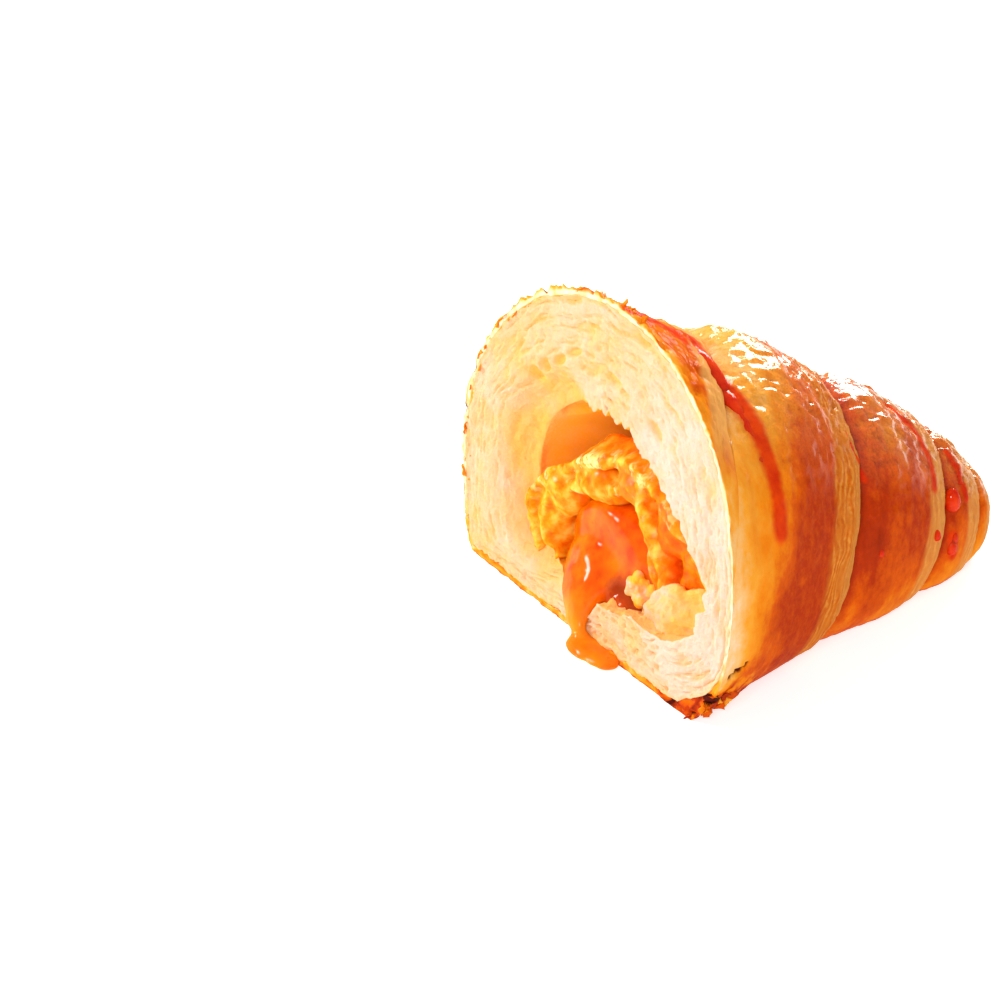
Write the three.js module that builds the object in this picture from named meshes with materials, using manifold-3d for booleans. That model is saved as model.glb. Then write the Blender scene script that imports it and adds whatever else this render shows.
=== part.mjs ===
// Half of a filled croissant, cut across its middle and lying on its flat base.
// Frame, in millimetres: +X runs from the cut face to the tip, +Z is up, and the near side of the
// pastry, where the glaze has run down, faces -Y. The cut face looks along -X.
// Angles round the pastry start at the top and grow towards the near side.
import * as THREE from 'three';
import { mergeVertices } from 'three/addons/utils/BufferGeometryUtils.js';
import Module from 'manifold-3d';

// ---------------------------------------------------------------- driving dimensions
const LENGTH = 77;            // cut face to the point of the tip
const AXIS_Y = -4.55;         // the roll's axis, seen from above
const FAR_WIDER = 0.175;      // the cut end is this much wider on its far side
const LEAN = 0.03;            // the knife leaned back a little
const LEAN_HEIGHT = 28;       // height at which the cut stands at X = 0
// The roll under its wraps: distance from the cut, near half width, height, height of the waist
const STATIONS = [
  [0, 34.6, 54.5, 20.4],
  [12, 28.8, 48.2, 17.6],
  [24, 24.4, 43.3, 15.5],
  [36, 20.0, 36.9, 13.2],
  [48, 16.6, 30.2, 10.9],
  [60, 12.7, 23.4, 8.6],
  [68, 9.2, 17.4, 7.2],
  [74, 5.4, 12.0, 6.2],
  [77, 0.0, 6.0, 6.0],
];
// The free edge of the rolled dough is one spiral: turns made, distance from the cut
const SPIRAL = [
  [0, -30], [0.5, -14], [0.85, 4], [1, 18], [1.5, 24.8],
  [2, 40], [3, 61.2], [4, 70.2], [5, 77], [6, 84],
];
const CROWN = [2.6, 3.6, 3.4, 2.0, 1.0, 0.8];  // how far each wrap stands proud
const STEP = [3.4, 3.4, 2.6, 1.6, 1.2, 1.0];   // width of the layered step that ends each wrap
const SWELL = {               // how a wrap rises behind the last edge, as shares of its width
  riseShare: 0.38, risePower: 0.8, settle: 0.3, stepShare: 0.4,
};
const SIDE_SWELL = { least: 0.65, more: 0.35, fadeFrom: 2.6 };   // less at the sides, none below
const FLARE_REACH = 10;       // the wider far side ends over this distance
const SETTLED_AT = 30;        // and from here on both sides are alike
const ROUNDNESS = {           // powers of the section's quarters: 2 is an ellipse, more is squarer
  nearTop: 2.15, farTop: 1.85, farTopSettles: 0.3, nearBase: 2.5, farBase: 4.5, farBaseSettles: -1.8,
};
const BELOW_WAIST = 1.25;     // the lower half would reach this far below; the table flattens it
const NOSE_LENGTH = 9;        // the underside rounds up to the tip over this length
const TIP_FADE = 70;          // wraps flatten from here to the tip
const SEGMENTS = 64;          // divisions round the pastry
const RIM_BAND = 1.2;         // least width of the first wrap's band of crust at the cut
const BAND_RINGS = [5, 10, 7, 4, 3];   // rings of the mesh along each wrap
const SEAM_FROM = 2.2;        // below this angle the ring lines ease back to meet under the base
const LAST_TURNS = 4.75;      // the last wrap ends just behind the point of the tip
const STEP_HEEL = 0.05;       // the foot of a step is this far from the next wrap's first ring
const TIP_RINGS = [0.4, 1.3]; // rings that round the tip, by distance from its point
const CUT_LAYERS = [          // the turns of dough on the cut face: share of the way in, relief
  [0.3, -0.35], [0.55, 0.35], [0.8, -0.3],
];

// The hollow that the filling left when the dough rose: its edge on the cut face, as (Y, Z)
const MOUTH = [
  [20.8, 24.0], [18.0, 30.8], [11.5, 35.8], [0, 38.6], [-12.0, 38.2], [-18.5, 33.6],
  [-27.0, 28.4], [-32.4, 21.0], [-31.0, 13.5], [-24.0, 9.8], [-14.0, 9.4], [-5.0, 7.6],
  [-3.0, 4.4], [3.6, 4.0], [6.0, 7.0], [13.2, 7.4], [18.4, 10.4], [20.6, 17.0],
];
const MOUTH_CENTRE = [AXIS_Y, STATIONS[0][3]];
const TORN = 0.7;             // depth of the torn teeth along the edge of the hollow
const TEETH = [22, 7];        // the teeth's two rhythms, in waves a turn
const HOLLOW_DEPTH = 36;
const HOLLOW_RINGS = [2, 5, 9, 14, 20, 26, 31, 34, 35.6];
const HOLLOW_TAPER = 0.75;    // how closely the hollow narrows with the pastry
const HOLLOW_BULGE = 0.16;    // it widens behind the cut on its far side,
const BULGE_LENGTH = 22;      // as far back as this

// The inner turn of dough, a soaked vault over the filling
const VAULT = {               // reaches from its crown to either side, height and wall
  front: 3.2, back: 34, crownY: 1.5, foot: 6, far: 20, near: 34, rise: 27, wall: 3,
  insideNear: 23,             // its near leg is thick, and lies against the near wall
  backSize: 0.62, wave: 0.03, waveAlong: 0.5, waveAcross: 0.35,
};

// The filling: a core along the pastry, a tongue over the lower lip and a puddle on the floor
const CORE = { front: 2.2, back: 52, halfWidth: 17.6, halfHeight: 9.0, startZ: 14.4, endZ: 9.5 };
const CORE_Y = [-0.2, -3.5];  // its middle, at the front and at the back
const CORE_ENDS = [0.34, 0.6];   // bluntness of its ends: the front is blunter than the back
const CORE_BACK = 0.42;       // its size at the back, as a share of the front's
const CORE_LUMPS = { depth: 0.06, round: 3, along: 0.3 };
const TONGUE = [              // X, Y, Z, half width, half thickness
  [9.0, 2.4, 11.0, 6.0, 3.4],
  [3.4, 1.8, 8.6, 5.6, 2.8],
  [0.2, 0.9, 6.2, 4.3, 1.8],
  [-1.4, 0.2, 3.4, 2.9, 1.3],
  [-2.6, -1.6, 1.3, 2.4, 0.9],
  [-3.2, -4.6, 0.9, 2.6, 0.7],
];
const TONGUE_ENDS = 0.35;     // bluntness of the tongue's two ends
const PUDDLE = { x: -2.4, y: -8.0, halfX: 4.4, halfY: 7.2, height: 2.0 };
const PUDDLE_WAVE = { depth: 0.05, round: 3, turned: 1 };
const BEAD = [                // the puddle's rounded profile: share of its size, of its height
  [0, 0], [0.94, 0], [1, 0.3], [0.9, 0.65], [0.62, 0.9], [0.3, 0.98], [0, 1],
];
const GAP = 0.3;              // clearance between the filling and the dough

// Glaze that has set in ridges and drops on the crust: places as (distance, degrees)
const GLAZE_RADIUS = 1.25;
const GLAZE_RAISED = 0.1;     // the middle of a ridge or drop lies this far above the crust
const GLAZE_STEP = 2.4;
const GLAZE_LINES = [
  [[1.6, -8], [5.5, -2], [9.5, 3], [9.4, 10]],
  [[14.6, 8], [13.4, 20], [11.6, 32], [9.9, 44], [9.0, 56], [9.4, 67]],
  [[42.5, 22], [36.6, 38], [34.6, 47], [36.0, 57]],
  [[49.5, 14], [53.6, 18], [55.0, 30], [53.2, 46], [51.8, 60]],
  [[61.4, 28], [62.2, 40], [62.6, 62]],
];
const GLAZE_DROPS = [         // distance, degrees, radius
  [59.0, 61, 1.7], [52.8, 81, 1.2], [58.0, 88, 1.4], [59.4, 99, 1.6], [38.3, 83, 0.8],
];

// Loose corners of crust along the cut edge: degrees, size
const FLAKES = [
  [-62, 1.5], [-47, 2.0], [-36, 1.5], [-27, 2.2], [-16, 1.6], [-5, 2.2],
  [112, 1.8], [120, 2.4], [128, 2.0], [136, 1.6], [-112, 1.5],
];
const FLAKE_SHAPE = [0.7, 1.1, 0.6];   // thickness, height and width for its size
const FLAKE_PLACE = { x: 1.2, sunk: 0.2, least: 0.75 };   // and least height, in sizes
const FLAKE_TWIST = 3;        // each leans this many times its own angle
// Torn crumb that stands up behind the lower lip: X, Y, Z, width, height, turn in degrees
const TORN_CRUMB = [
  [2.6, -18.6, 8.2, 9, 9.5, 28],
  [4.6, -25.6, 10.5, 8, 9.0, -20],
];
const TEAR = { root: 3, thickness: 1.4, bow: 0.5, frontBow: 0.3, backBow: 0.2, leanBack: 0.35 };

const TURN = 2 * Math.PI;
const DEGREE = Math.PI / 180;
const TINY = 1e-4;            // keeps a division from zero, and merges corners that meet

// ---------------------------------------------------------------- small mathematics
function smooth(from, to, value) {
  const t = Math.min(1, Math.max(0, (value - from) / (to - from)));
  return t * t * (3 - 2 * t);
}

function mix(a, b, t) {
  return a + (b - a) * t;
}

// A smooth curve through the rows' values, by distance along the pastry
function along(rows, column, x) {
  const last = rows.length - 1;
  let i = 0;
  while (i < last - 1 && x > rows[i + 1][0]) i += 1;
  const slope = (k) => {
    const a = Math.max(0, k - 1);
    const b = Math.min(last, k + 1);
    return (rows[b][column] - rows[a][column]) / (rows[b][0] - rows[a][0]);
  };
  const width = rows[i + 1][0] - rows[i][0];
  const t = Math.min(1, Math.max(0, (x - rows[i][0]) / width));
  const rise = t * t * (3 - 2 * t);
  return mix(rows[i][column], rows[i + 1][column], rise)
    + (t - 2 * t * t + t ** 3) * width * slope(i)
    + (t ** 3 - t * t) * width * slope(i + 1);
}

function straight(rows, from, to, value) {
  let i = 0;
  while (i < rows.length - 2 && value > rows[i + 1][from]) i += 1;
  const t = (value - rows[i][from]) / (rows[i + 1][from] - rows[i][from]);
  return mix(rows[i][to], rows[i + 1][to], Math.min(1, Math.max(0, t)));
}

const edgeAt = (turns) => straight(SPIRAL, 0, 1, turns);
const turnsAt = (x) => straight(SPIRAL, 1, 0, x);

// Angle from the top, between -half a turn and +half a turn
function fromTop(angle) {
  return ((angle + Math.PI) % TURN + TURN) % TURN - Math.PI;
}

// ---------------------------------------------------------------- the outside of the roll
// How far a wrap stands out: it swells behind the last edge and ends in its own layered step
function swell(x, angle) {
  const a = fromTop(angle);
  const turns = turnsAt(x) + a / TURN;
  const wrap = Math.min(CROWN.length - 1, Math.max(0, Math.floor(turns)));
  const start = edgeAt(wrap - a / TURN);
  const end = edgeAt(wrap + 1 - a / TURN);
  const width = Math.max(end - start, TINY);
  const share = Math.min(1, Math.max(0, (x - start) / width));
  const { riseShare, risePower, settle, stepShare } = SWELL;
  const rise = Math.sin(Math.PI / 2 * Math.min(1, share / riseShare)) ** risePower;
  const settled = 1 - settle * smooth(riseShare, 1, share);
  const step = Math.min(STEP[wrap], stepShare * width);
  const drop = Math.min(1, Math.max(0, (end - x) / step));
  const { least, more, fadeFrom } = SIDE_SWELL;
  const side = (least + more * Math.cos(a)) * smooth(Math.PI, fadeFrom, Math.abs(a));
  return CROWN[wrap] * rise * settled * drop * side * smooth(LENGTH, TIP_FADE, x);
}

function superRadius(sine, cosine, half, upright, power) {
  const sum = Math.abs(sine / half) ** power + Math.abs(cosine / upright) ** power;
  return sum ** (-1 / power);
}

// A point of the crust, raised by `out` from its surface
function crust(x, angle, out = 0) {
  const c = Math.cos(angle);
  const s = Math.sin(angle);
  const near = along(STATIONS, 1, x);
  const height = along(STATIONS, 2, x);
  const waist = along(STATIONS, 3, x);
  const isNear = s > 0;
  const isTop = c >= 0;
  const far = near * (1 + FAR_WIDER * Math.exp(-x / FLARE_REACH));
  const half = Math.max(isNear ? near : far, TINY);
  const nose = Math.sqrt(Math.min(1, Math.max(0, (LENGTH - x) / NOSE_LENGTH)));
  const upright = Math.max(isTop ? height - waist : BELOW_WAIST * waist * nose, TINY);
  const settled = smooth(0, SETTLED_AT, x);
  const { nearTop, farTop, farTopSettles, nearBase, farBase, farBaseSettles } = ROUNDNESS;
  const topPower = isNear ? nearTop : farTop + farTopSettles * settled;
  const basePower = isNear ? nearBase : farBase + farBaseSettles * settled;
  const radius = superRadius(s, c, half, upright, isTop ? topPower : basePower)
    + swell(x, angle) + out;
  const z = Math.max(0, waist + radius * c);
  return new THREE.Vector3(x + LEAN * (z - LEAN_HEIGHT), AXIS_Y - radius * s, z);
}

// ---------------------------------------------------------------- the hollow
// The mouth's radius from its centre, by angle, through its points
const mouthRow = ([y, z]) => {
  const dy = y - MOUTH_CENTRE[0];
  const dz = z - MOUTH_CENTRE[1];
  return [(Math.atan2(-dy, dz) + TURN) % TURN, Math.hypot(dy, dz)];
};
const mouthRows = MOUTH.map(mouthRow).sort((a, b) => a[0] - b[0]);
mouthRows.push([mouthRows[0][0] + TURN, mouthRows[0][1]]);
mouthRows.unshift([mouthRows[mouthRows.length - 2][0] - TURN, mouthRows[mouthRows.length - 2][1]]);

function mouthRadius(angle) {
  return straight(mouthRows, 0, 1, (angle % TURN + TURN) % TURN);
}

// A point of the hollow's wall, `depth` behind the cut
function hollow(depth, angle) {
  const waist = along(STATIONS, 3, depth);
  const taper = along(STATIONS, 1, depth) / STATIONS[0][1];
  const end = Math.sqrt(Math.max(0, 1 - (depth / HOLLOW_DEPTH) ** 3));
  const behind = Math.sin(Math.PI * Math.min(1, depth / BULGE_LENGTH));
  const bulge = 1 + HOLLOW_BULGE * Math.max(0, -Math.sin(angle)) * behind;
  const radius = mouthRadius(angle) * mix(1, taper, HOLLOW_TAPER) * end * bulge;
  const z = waist + radius * Math.cos(angle);
  return new THREE.Vector3(depth + LEAN * (z - LEAN_HEIGHT), AXIS_Y - radius * Math.sin(angle), z);
}

// ---------------------------------------------------------------- closed shapes
// A closed skin of rings: a lathe's mesh whose rings and angles are placed by a function.
// The first and last ring are single points.
function skin(rings, segments, place) {
  const profile = [];
  for (let i = 0; i < rings; i += 1) {
    const onAxis = i === 0 || i === rings - 1;
    profile.push(new THREE.Vector2(onAxis ? 0 : 1, i));
  }
  const geometry = new THREE.LatheGeometry(profile, segments);
  const position = geometry.attributes.position;
  for (let i = 0; i < position.count; i += 1) {
    const ring = i % rings;
    const step = Math.floor(i / rings) % segments;
    const p = place(ring, TURN * step / segments);
    position.setXYZ(i, p.x, p.y, p.z);
  }
  return geometry;
}

const wasm = await Module();
wasm.setup();

// A closed mesh as a solid, with its faces turned outwards
function solid(geometry) {
  const bare = geometry.clone();
  bare.deleteAttribute('normal');
  bare.deleteAttribute('uv');
  const merged = mergeVertices(bare, TINY);
  const index = Array.from(merged.index.array);
  const points = merged.attributes.position;
  const kept = [];
  let volume = 0;
  for (let i = 0; i < index.length; i += 3) {
    const [a, b, c] = index.slice(i, i + 3);
    if (a === b || b === c || c === a) continue;
    kept.push(a, b, c);
    const [p, q, r] = [a, b, c].map((k) => new THREE.Vector3().fromBufferAttribute(points, k));
    volume += p.dot(q.cross(r));
  }
  if (volume < 0) kept.reverse();
  return new wasm.Manifold(new wasm.Mesh({
    numProp: 3,
    vertProperties: new Float32Array(points.array),
    triVerts: new Uint32Array(kept),
  }));
}

function mesh(name, body, colour, roughness) {
  const { vertProperties, triVerts } = body.getMesh();
  const geometry = new THREE.BufferGeometry();
  geometry.setAttribute('position', new THREE.BufferAttribute(vertProperties, 3));
  geometry.setIndex(new THREE.BufferAttribute(triVerts, 1));
  geometry.computeVertexNormals();
  const material = new THREE.MeshStandardMaterial({ color: colour, roughness, metalness: 0 });
  const result = new THREE.Mesh(geometry, material);
  result.name = name;
  return result;
}

// ---------------------------------------------------------------- dough
// Ring lines lean with the spiral, so that they run along each wrap's step. The first edge runs
// out through the cut on the near side, and its line stays just behind the cut from there on.
function ringLine(turns, angle) {
  if (turns === 0) return 0;
  const a = fromTop(angle);
  const eased = a * (1 - smooth(SEAM_FROM, Math.PI, Math.abs(a)));
  return Math.min(LENGTH, Math.max(RIM_BAND, edgeAt(turns - eased / TURN)));
}

function doughShell() {
  const places = [() => new THREE.Vector3(LENGTH, AXIS_Y, along(STATIONS, 3, LENGTH))];
  const band = (wrap) => {
    const last = wrap === BAND_RINGS.length - 1 ? LAST_TURNS : wrap + 1;
    places.push((angle) => crust(ringLine(last, angle) - STEP_HEEL, angle));
    for (let i = BAND_RINGS[wrap]; i >= 1; i -= 1) {
      places.push((angle) => {
        const start = ringLine(wrap, angle);
        const end = ringLine(last, angle);
        const shoulder = end - Math.min(STEP[wrap], SWELL.stepShare * (end - start));
        return crust(mix(start, shoulder, i / BAND_RINGS[wrap]), angle);
      });
    }
  };
  for (const back of TIP_RINGS) places.push((angle) => crust(LENGTH - back, angle));
  for (let wrap = BAND_RINGS.length - 1; wrap >= 0; wrap -= 1) band(wrap);
  // the cut face: the rim, the turns of layers and the torn edge of the hollow
  const rim = (angle) => crust(0, angle);
  places.push(rim);
  for (const [share, relief] of CUT_LAYERS) {
    places.push((angle) => {
      const p = rim(angle).lerp(hollow(0, angle), share);
      return p.setX(p.x + relief);
    });
  }
  const tooth = (angle) => TORN * Math.sin(angle * TEETH[0]) * Math.cos(angle * TEETH[1]);
  places.push((angle) => {
    const p = hollow(0, angle);
    const inwards = tooth(angle) / mouthRadius(angle);
    return p.setY(mix(p.y, MOUTH_CENTRE[0], inwards)).setZ(mix(p.z, MOUTH_CENTRE[1], inwards));
  });
  for (const depth of HOLLOW_RINGS) places.push((angle) => hollow(depth, angle));
  places.push(() => hollow(HOLLOW_DEPTH, 0));
  return solid(skin(places.length, SEGMENTS, (ring, angle) => places[ring](angle)));
}

// The vault: an arch-shaped wall, drawn from the front to the back of the hollow
function vault() {
  const { front, back, crownY, foot, far, near, rise, wall, insideNear } = VAULT;
  const outside = rise - foot;
  const inside = outside - wall;
  const arch = new THREE.Shape();
  arch.moveTo(-near, 0);
  arch.absellipse(0, 0, near, outside, Math.PI, Math.PI / 2, true);
  arch.absellipse(0, 0, far, outside, Math.PI / 2, 0, true);
  arch.lineTo(far - wall, 0);
  arch.absellipse(0, 0, far - wall, inside, 0, Math.PI / 2, false);
  arch.absellipse(0, 0, insideNear, inside, Math.PI / 2, Math.PI, false);
  arch.closePath();
  const geometry = new THREE.ExtrudeGeometry(arch, {
    depth: back - front, steps: 6, curveSegments: 8, bevelEnabled: false,
  });
  const position = geometry.attributes.position;
  for (let i = 0; i < position.count; i += 1) {
    const across = position.getX(i);
    const up = position.getY(i);
    const x = front + position.getZ(i);
    const taper = mix(1, VAULT.backSize, (x - front) / (back - front));
    const wave = 1 + VAULT.wave * Math.sin(x * VAULT.waveAlong + across * VAULT.waveAcross);
    position.setXYZ(i, x, crownY + across * taper * wave, foot + up * taper * wave);
  }
  return solid(geometry);
}

// A thin three-cornered tear of crumb, leaning back from its foot
function tear([x, y, z, width, height, degrees]) {
  const outline = new THREE.Shape();
  outline.moveTo(-width / 2, -TEAR.root);
  outline.lineTo(width / 2, -TEAR.root);
  outline.quadraticCurveTo(width * TEAR.frontBow, height * TEAR.bow, 0, height);
  outline.quadraticCurveTo(-width * TEAR.backBow, height * TEAR.bow, -width / 2, -TEAR.root);
  const geometry = new THREE.ExtrudeGeometry(outline, {
    depth: TEAR.thickness, steps: 1, curveSegments: 4, bevelEnabled: false,
  });
  geometry.rotateX(Math.PI / 2);
  geometry.rotateZ(-Math.PI / 2 + degrees * DEGREE);
  geometry.rotateY(TEAR.leanBack);
  geometry.translate(x, y, z);
  return solid(geometry);
}

// A loose corner of crust on the rim of the cut
function flake([degrees, size]) {
  const geometry = new THREE.OctahedronGeometry(size);
  geometry.rotateX(degrees * DEGREE * FLAKE_TWIST);
  geometry.scale(...FLAKE_SHAPE);
  geometry.rotateX(degrees * DEGREE);
  const at = crust(FLAKE_PLACE.x, degrees * DEGREE, -FLAKE_PLACE.sunk);
  geometry.translate(at.x, at.y, Math.max(at.z, size * FLAKE_PLACE.least));
  return solid(geometry);
}

function glazeLine(places) {
  const points = places.map(([x, degrees]) => crust(x, degrees * DEGREE, GLAZE_RAISED));
  const path = new THREE.CatmullRomCurve3(points);
  const section = new THREE.Shape().absarc(0, 0, GLAZE_RADIUS, 0, TURN);
  const steps = Math.round(path.getLength() / GLAZE_STEP);
  const geometry = new THREE.ExtrudeGeometry(section, {
    steps, curveSegments: 4, extrudePath: path, bevelEnabled: false,
  });
  return solid(geometry);
}

function glazeDrop([x, degrees, radius]) {
  const geometry = new THREE.SphereGeometry(radius, 8, 6);
  const at = crust(x, degrees * DEGREE, GLAZE_RAISED);
  geometry.translate(at.x, at.y, at.z);
  return solid(geometry);
}

// ---------------------------------------------------------------- filling
function core(grow) {
  const rings = 12;
  const { front, back, halfWidth, halfHeight, startZ, endZ } = CORE;
  return solid(skin(rings, 24, (ring, angle) => {
    const share = ring / (rings - 1);
    const t = 0.5 - 0.5 * Math.cos(Math.PI * share);
    const x = mix(front - grow, back + grow, t);
    const round = Math.sin(Math.PI * share) ** mix(CORE_ENDS[0], CORE_ENDS[1], share);
    const thin = mix(1, CORE_BACK, t);
    const lumps = Math.sin(CORE_LUMPS.round * angle + x * CORE_LUMPS.along);
    const wave = 1 + CORE_LUMPS.depth * lumps;
    const radial = (half) => (half * thin * wave + grow) * round;
    return new THREE.Vector3(
      x,
      mix(CORE_Y[0], CORE_Y[1], t) + radial(halfWidth) * Math.sin(angle),
      mix(startZ, endZ, t) + radial(halfHeight) * Math.cos(angle),
    );
  }));
}

function tongue(grow) {
  const line = new THREE.CatmullRomCurve3(TONGUE.map(([x, y, z]) => new THREE.Vector3(x, y, z)));
  const rings = 14;
  return solid(skin(rings, 12, (ring, angle) => {
    const share = ring / (rings - 1);
    const row = share * (TONGUE.length - 1);
    const i = Math.min(TONGUE.length - 2, Math.floor(row));
    const size = (column) => mix(TONGUE[i][column], TONGUE[i + 1][column], row - i) + grow;
    const round = Math.sin(Math.PI * share) ** TONGUE_ENDS;
    const at = line.getPoint(share);
    const ahead = line.getTangent(share);
    const out = new THREE.Vector3(-ahead.z, 0, ahead.x).normalize();
    at.y += size(3) * round * Math.cos(angle);
    at.addScaledVector(out, size(4) * round * Math.sin(angle));
    at.z = Math.max(at.z, 0);
    return at;
  }));
}

function puddle(grow) {
  const { x, y, halfX, halfY, height } = PUDDLE;
  return solid(skin(BEAD.length, 28, (ring, angle) => {
    const [spread, level] = BEAD[ring];
    const wave = 1 + PUDDLE_WAVE.depth * Math.sin(PUDDLE_WAVE.round * angle + PUDDLE_WAVE.turned);
    return new THREE.Vector3(
      x + (halfX * wave + grow) * spread * Math.cos(angle),
      y + (halfY * wave + grow) * spread * Math.sin(angle),
      level * height + (level > 0.5 ? grow : 0),
    );
  }));
}

function filling(grow) {
  return core(grow).add(tongue(grow)).add(puddle(grow));
}

// Everything under the floor
function underground() {
  const side = 3 * LENGTH;
  const geometry = new THREE.BoxGeometry(side, side, side);
  geometry.translate(0, 0, -side / 2);
  return solid(geometry);
}

// ---------------------------------------------------------------- the two pieces
let dough = doughShell().add(vault());
for (const row of TORN_CRUMB) dough = dough.add(tear(row));
for (const row of FLAKES) dough = dough.add(flake(row));
for (const row of GLAZE_LINES) dough = dough.add(glazeLine(row));
for (const row of GLAZE_DROPS) dough = dough.add(glazeDrop(row));
dough = dough.subtract(filling(GAP)).subtract(underground());

const half = new THREE.Group();
half.add(mesh('pastry', dough, 0xe09a45, 0.45));
half.add(mesh('apricot_filling', filling(0), 0xe8701c, 0.12));

// the origin is under the middle of the whole
const box = new THREE.Box3().setFromObject(half);
half.position.set(-(box.min.x + box.max.x) / 2, -(box.min.y + box.max.y) / 2, -box.min.z);

const croissant = new THREE.Group();
croissant.add(half);

export default croissant;
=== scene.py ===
# %% [markdown]
# # Half of an apricot-filled croissant, cell by cell
# The solids from the CAD step are the frame: they fix where everything is and how big it is.
# They are plain, because a baker's crust is all small relief and colour. This lesson dresses them:
# a shell of crust, the crumb that the knife laid open, the soaked inner turn of dough, torn crumb,
# the filling, the glaze that ran over the top, and the flakes and crumbs that came off.
# The frame comes first, so that every piece can be placed by the numbers that made the solids.

# %% Load the frame
import math

import bmesh
import bpy
import numpy as np
from mathutils import Matrix, Vector
from mathutils.kdtree import KDTree


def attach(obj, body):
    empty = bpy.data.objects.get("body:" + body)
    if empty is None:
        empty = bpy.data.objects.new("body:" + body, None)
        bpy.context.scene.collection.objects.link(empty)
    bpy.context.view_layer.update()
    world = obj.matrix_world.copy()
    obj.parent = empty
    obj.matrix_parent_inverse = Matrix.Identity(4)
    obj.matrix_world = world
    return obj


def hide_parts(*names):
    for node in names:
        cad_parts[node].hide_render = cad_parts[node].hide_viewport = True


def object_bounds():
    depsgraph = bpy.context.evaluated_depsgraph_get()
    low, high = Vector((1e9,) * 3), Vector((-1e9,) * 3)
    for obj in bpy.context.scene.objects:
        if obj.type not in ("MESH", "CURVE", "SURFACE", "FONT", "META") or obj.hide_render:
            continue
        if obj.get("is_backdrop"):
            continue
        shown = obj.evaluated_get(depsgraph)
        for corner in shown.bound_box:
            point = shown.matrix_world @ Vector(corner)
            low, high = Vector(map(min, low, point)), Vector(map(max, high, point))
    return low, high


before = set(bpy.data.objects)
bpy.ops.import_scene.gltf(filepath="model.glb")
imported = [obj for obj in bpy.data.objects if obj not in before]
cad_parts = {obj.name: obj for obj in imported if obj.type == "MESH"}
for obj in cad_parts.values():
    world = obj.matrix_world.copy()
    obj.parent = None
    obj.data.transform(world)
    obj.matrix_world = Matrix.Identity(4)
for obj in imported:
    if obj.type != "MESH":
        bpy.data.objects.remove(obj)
CAD_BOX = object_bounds()
print("nodes:", sorted(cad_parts))

# %% [markdown]
# The roll is described as it is baked: an axis, half widths and heights along it, and one spiral
# edge of dough that winds round it. These are the same named sizes as in the solids, in
# millimetres, with X = 0 at the cut. `SHIFT` moves that frame to the middle of the whole piece.
# On the near side the first seam is baked shut where it meets the cut.

# %% Sizes of the roll
MM = 0.001
SHIFT = np.array([-35.1896, 1.0067, 0.0])
TURN = 2 * math.pi
LENGTH, AXIS_Y, LEAN, LEAN_HEIGHT = 77.0, -4.55, 0.03, 28.0
FAR_WIDER, FLARE_REACH, SETTLED_AT = 0.175, 10.0, 30.0
BELOW_WAIST, NOSE_LENGTH, TIP_FADE = 1.25, 9.0, 70.0
STATIONS = np.array([      # distance from the cut, near half width, height, height of the waist
    [0, 34.6, 54.5, 20.4], [12, 28.8, 48.2, 17.6], [24, 24.4, 43.3, 15.5],
    [36, 20.0, 36.9, 13.2], [48, 16.6, 30.2, 10.9], [60, 12.7, 23.4, 8.6],
    [68, 9.2, 17.4, 7.2], [74, 5.4, 12.0, 6.2], [77, 0.0, 6.0, 6.0],
])
SPIRAL = np.array([        # turns made by the edge of the dough, distance from the cut
    [0, -30], [0.5, -14], [0.85, 4], [1, 18], [1.5, 24.8],
    [2, 40], [3, 61.2], [4, 70.2], [5, 77], [6, 84],
])
CROWN = np.array([2.6, 3.6, 3.4, 2.0, 1.0, 0.8])     # how far each wrap stands proud
STEP = np.array([3.4, 3.4, 2.6, 1.6, 1.2, 1.0])      # width of the layered step at its edge
STEP_SHARE = 0.4
RIM_BAND, SEAM_FROM, LAST_TURNS = 1.2, 2.2, 4.75
RISES_OVER, SINKS_BY, LIP = 0.38, 0.3, 0.3           # shares of a wrap's width and of its height
SEAM_CLOSED = 8.0                # the first seam closes up this close to the cut
TOP_POWERS = (2.15, 1.85, 0.3)   # squareness above the waist: near side, far side, gained behind
BASE_POWERS = (2.5, 4.5, -1.8)   # the same below the waist
MOUTH = np.array([         # edge of the hollow on the cut, as (Y, Z)
    [20.8, 24.0], [18.0, 30.8], [11.5, 35.8], [0, 38.6], [-12.0, 38.2], [-18.5, 33.6],
    [-27.0, 28.4], [-32.4, 21.0], [-31.0, 13.5], [-24.0, 9.8], [-14.0, 9.4], [-5.0, 7.6],
    [-3.0, 4.4], [3.6, 4.0], [6.0, 7.0], [13.2, 7.4], [18.4, 10.4], [20.6, 17.0],
])
MOUTH_CENTRE = (AXIS_Y, 20.4)
HOLLOW_DEPTH, HOLLOW_TAPER, HOLLOW_BULGE, BULGE_LENGTH = 36.0, 0.75, 0.04, 22.0
print("the half is", LENGTH, "mm long and", STATIONS[0][2], "mm high at the cut")


def smooth(start, end, value):
    """0 before start, 1 after end, and an even curve between them."""
    t = np.clip((value - start) / (end - start), 0, 1)
    return t * t * (3 - 2 * t)


def mix(a, b, t):
    return a + (b - a) * t


def xyz(x, y, z):
    """Points from their three coordinates, each a number or an array."""
    return np.stack(np.broadcast_arrays(x, y, z), axis=-1)


def at_row(table, row):
    """The columns of a table at row numbers that may lie between rows."""
    return [np.interp(row, np.arange(len(table)), column) for column in np.transpose(table)]


def unit(vectors):
    return vectors / np.linalg.norm(vectors, axis=-1, keepdims=True)


def distance_to(spot, points):
    return np.linalg.norm(points - spot, axis=-1)


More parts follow.
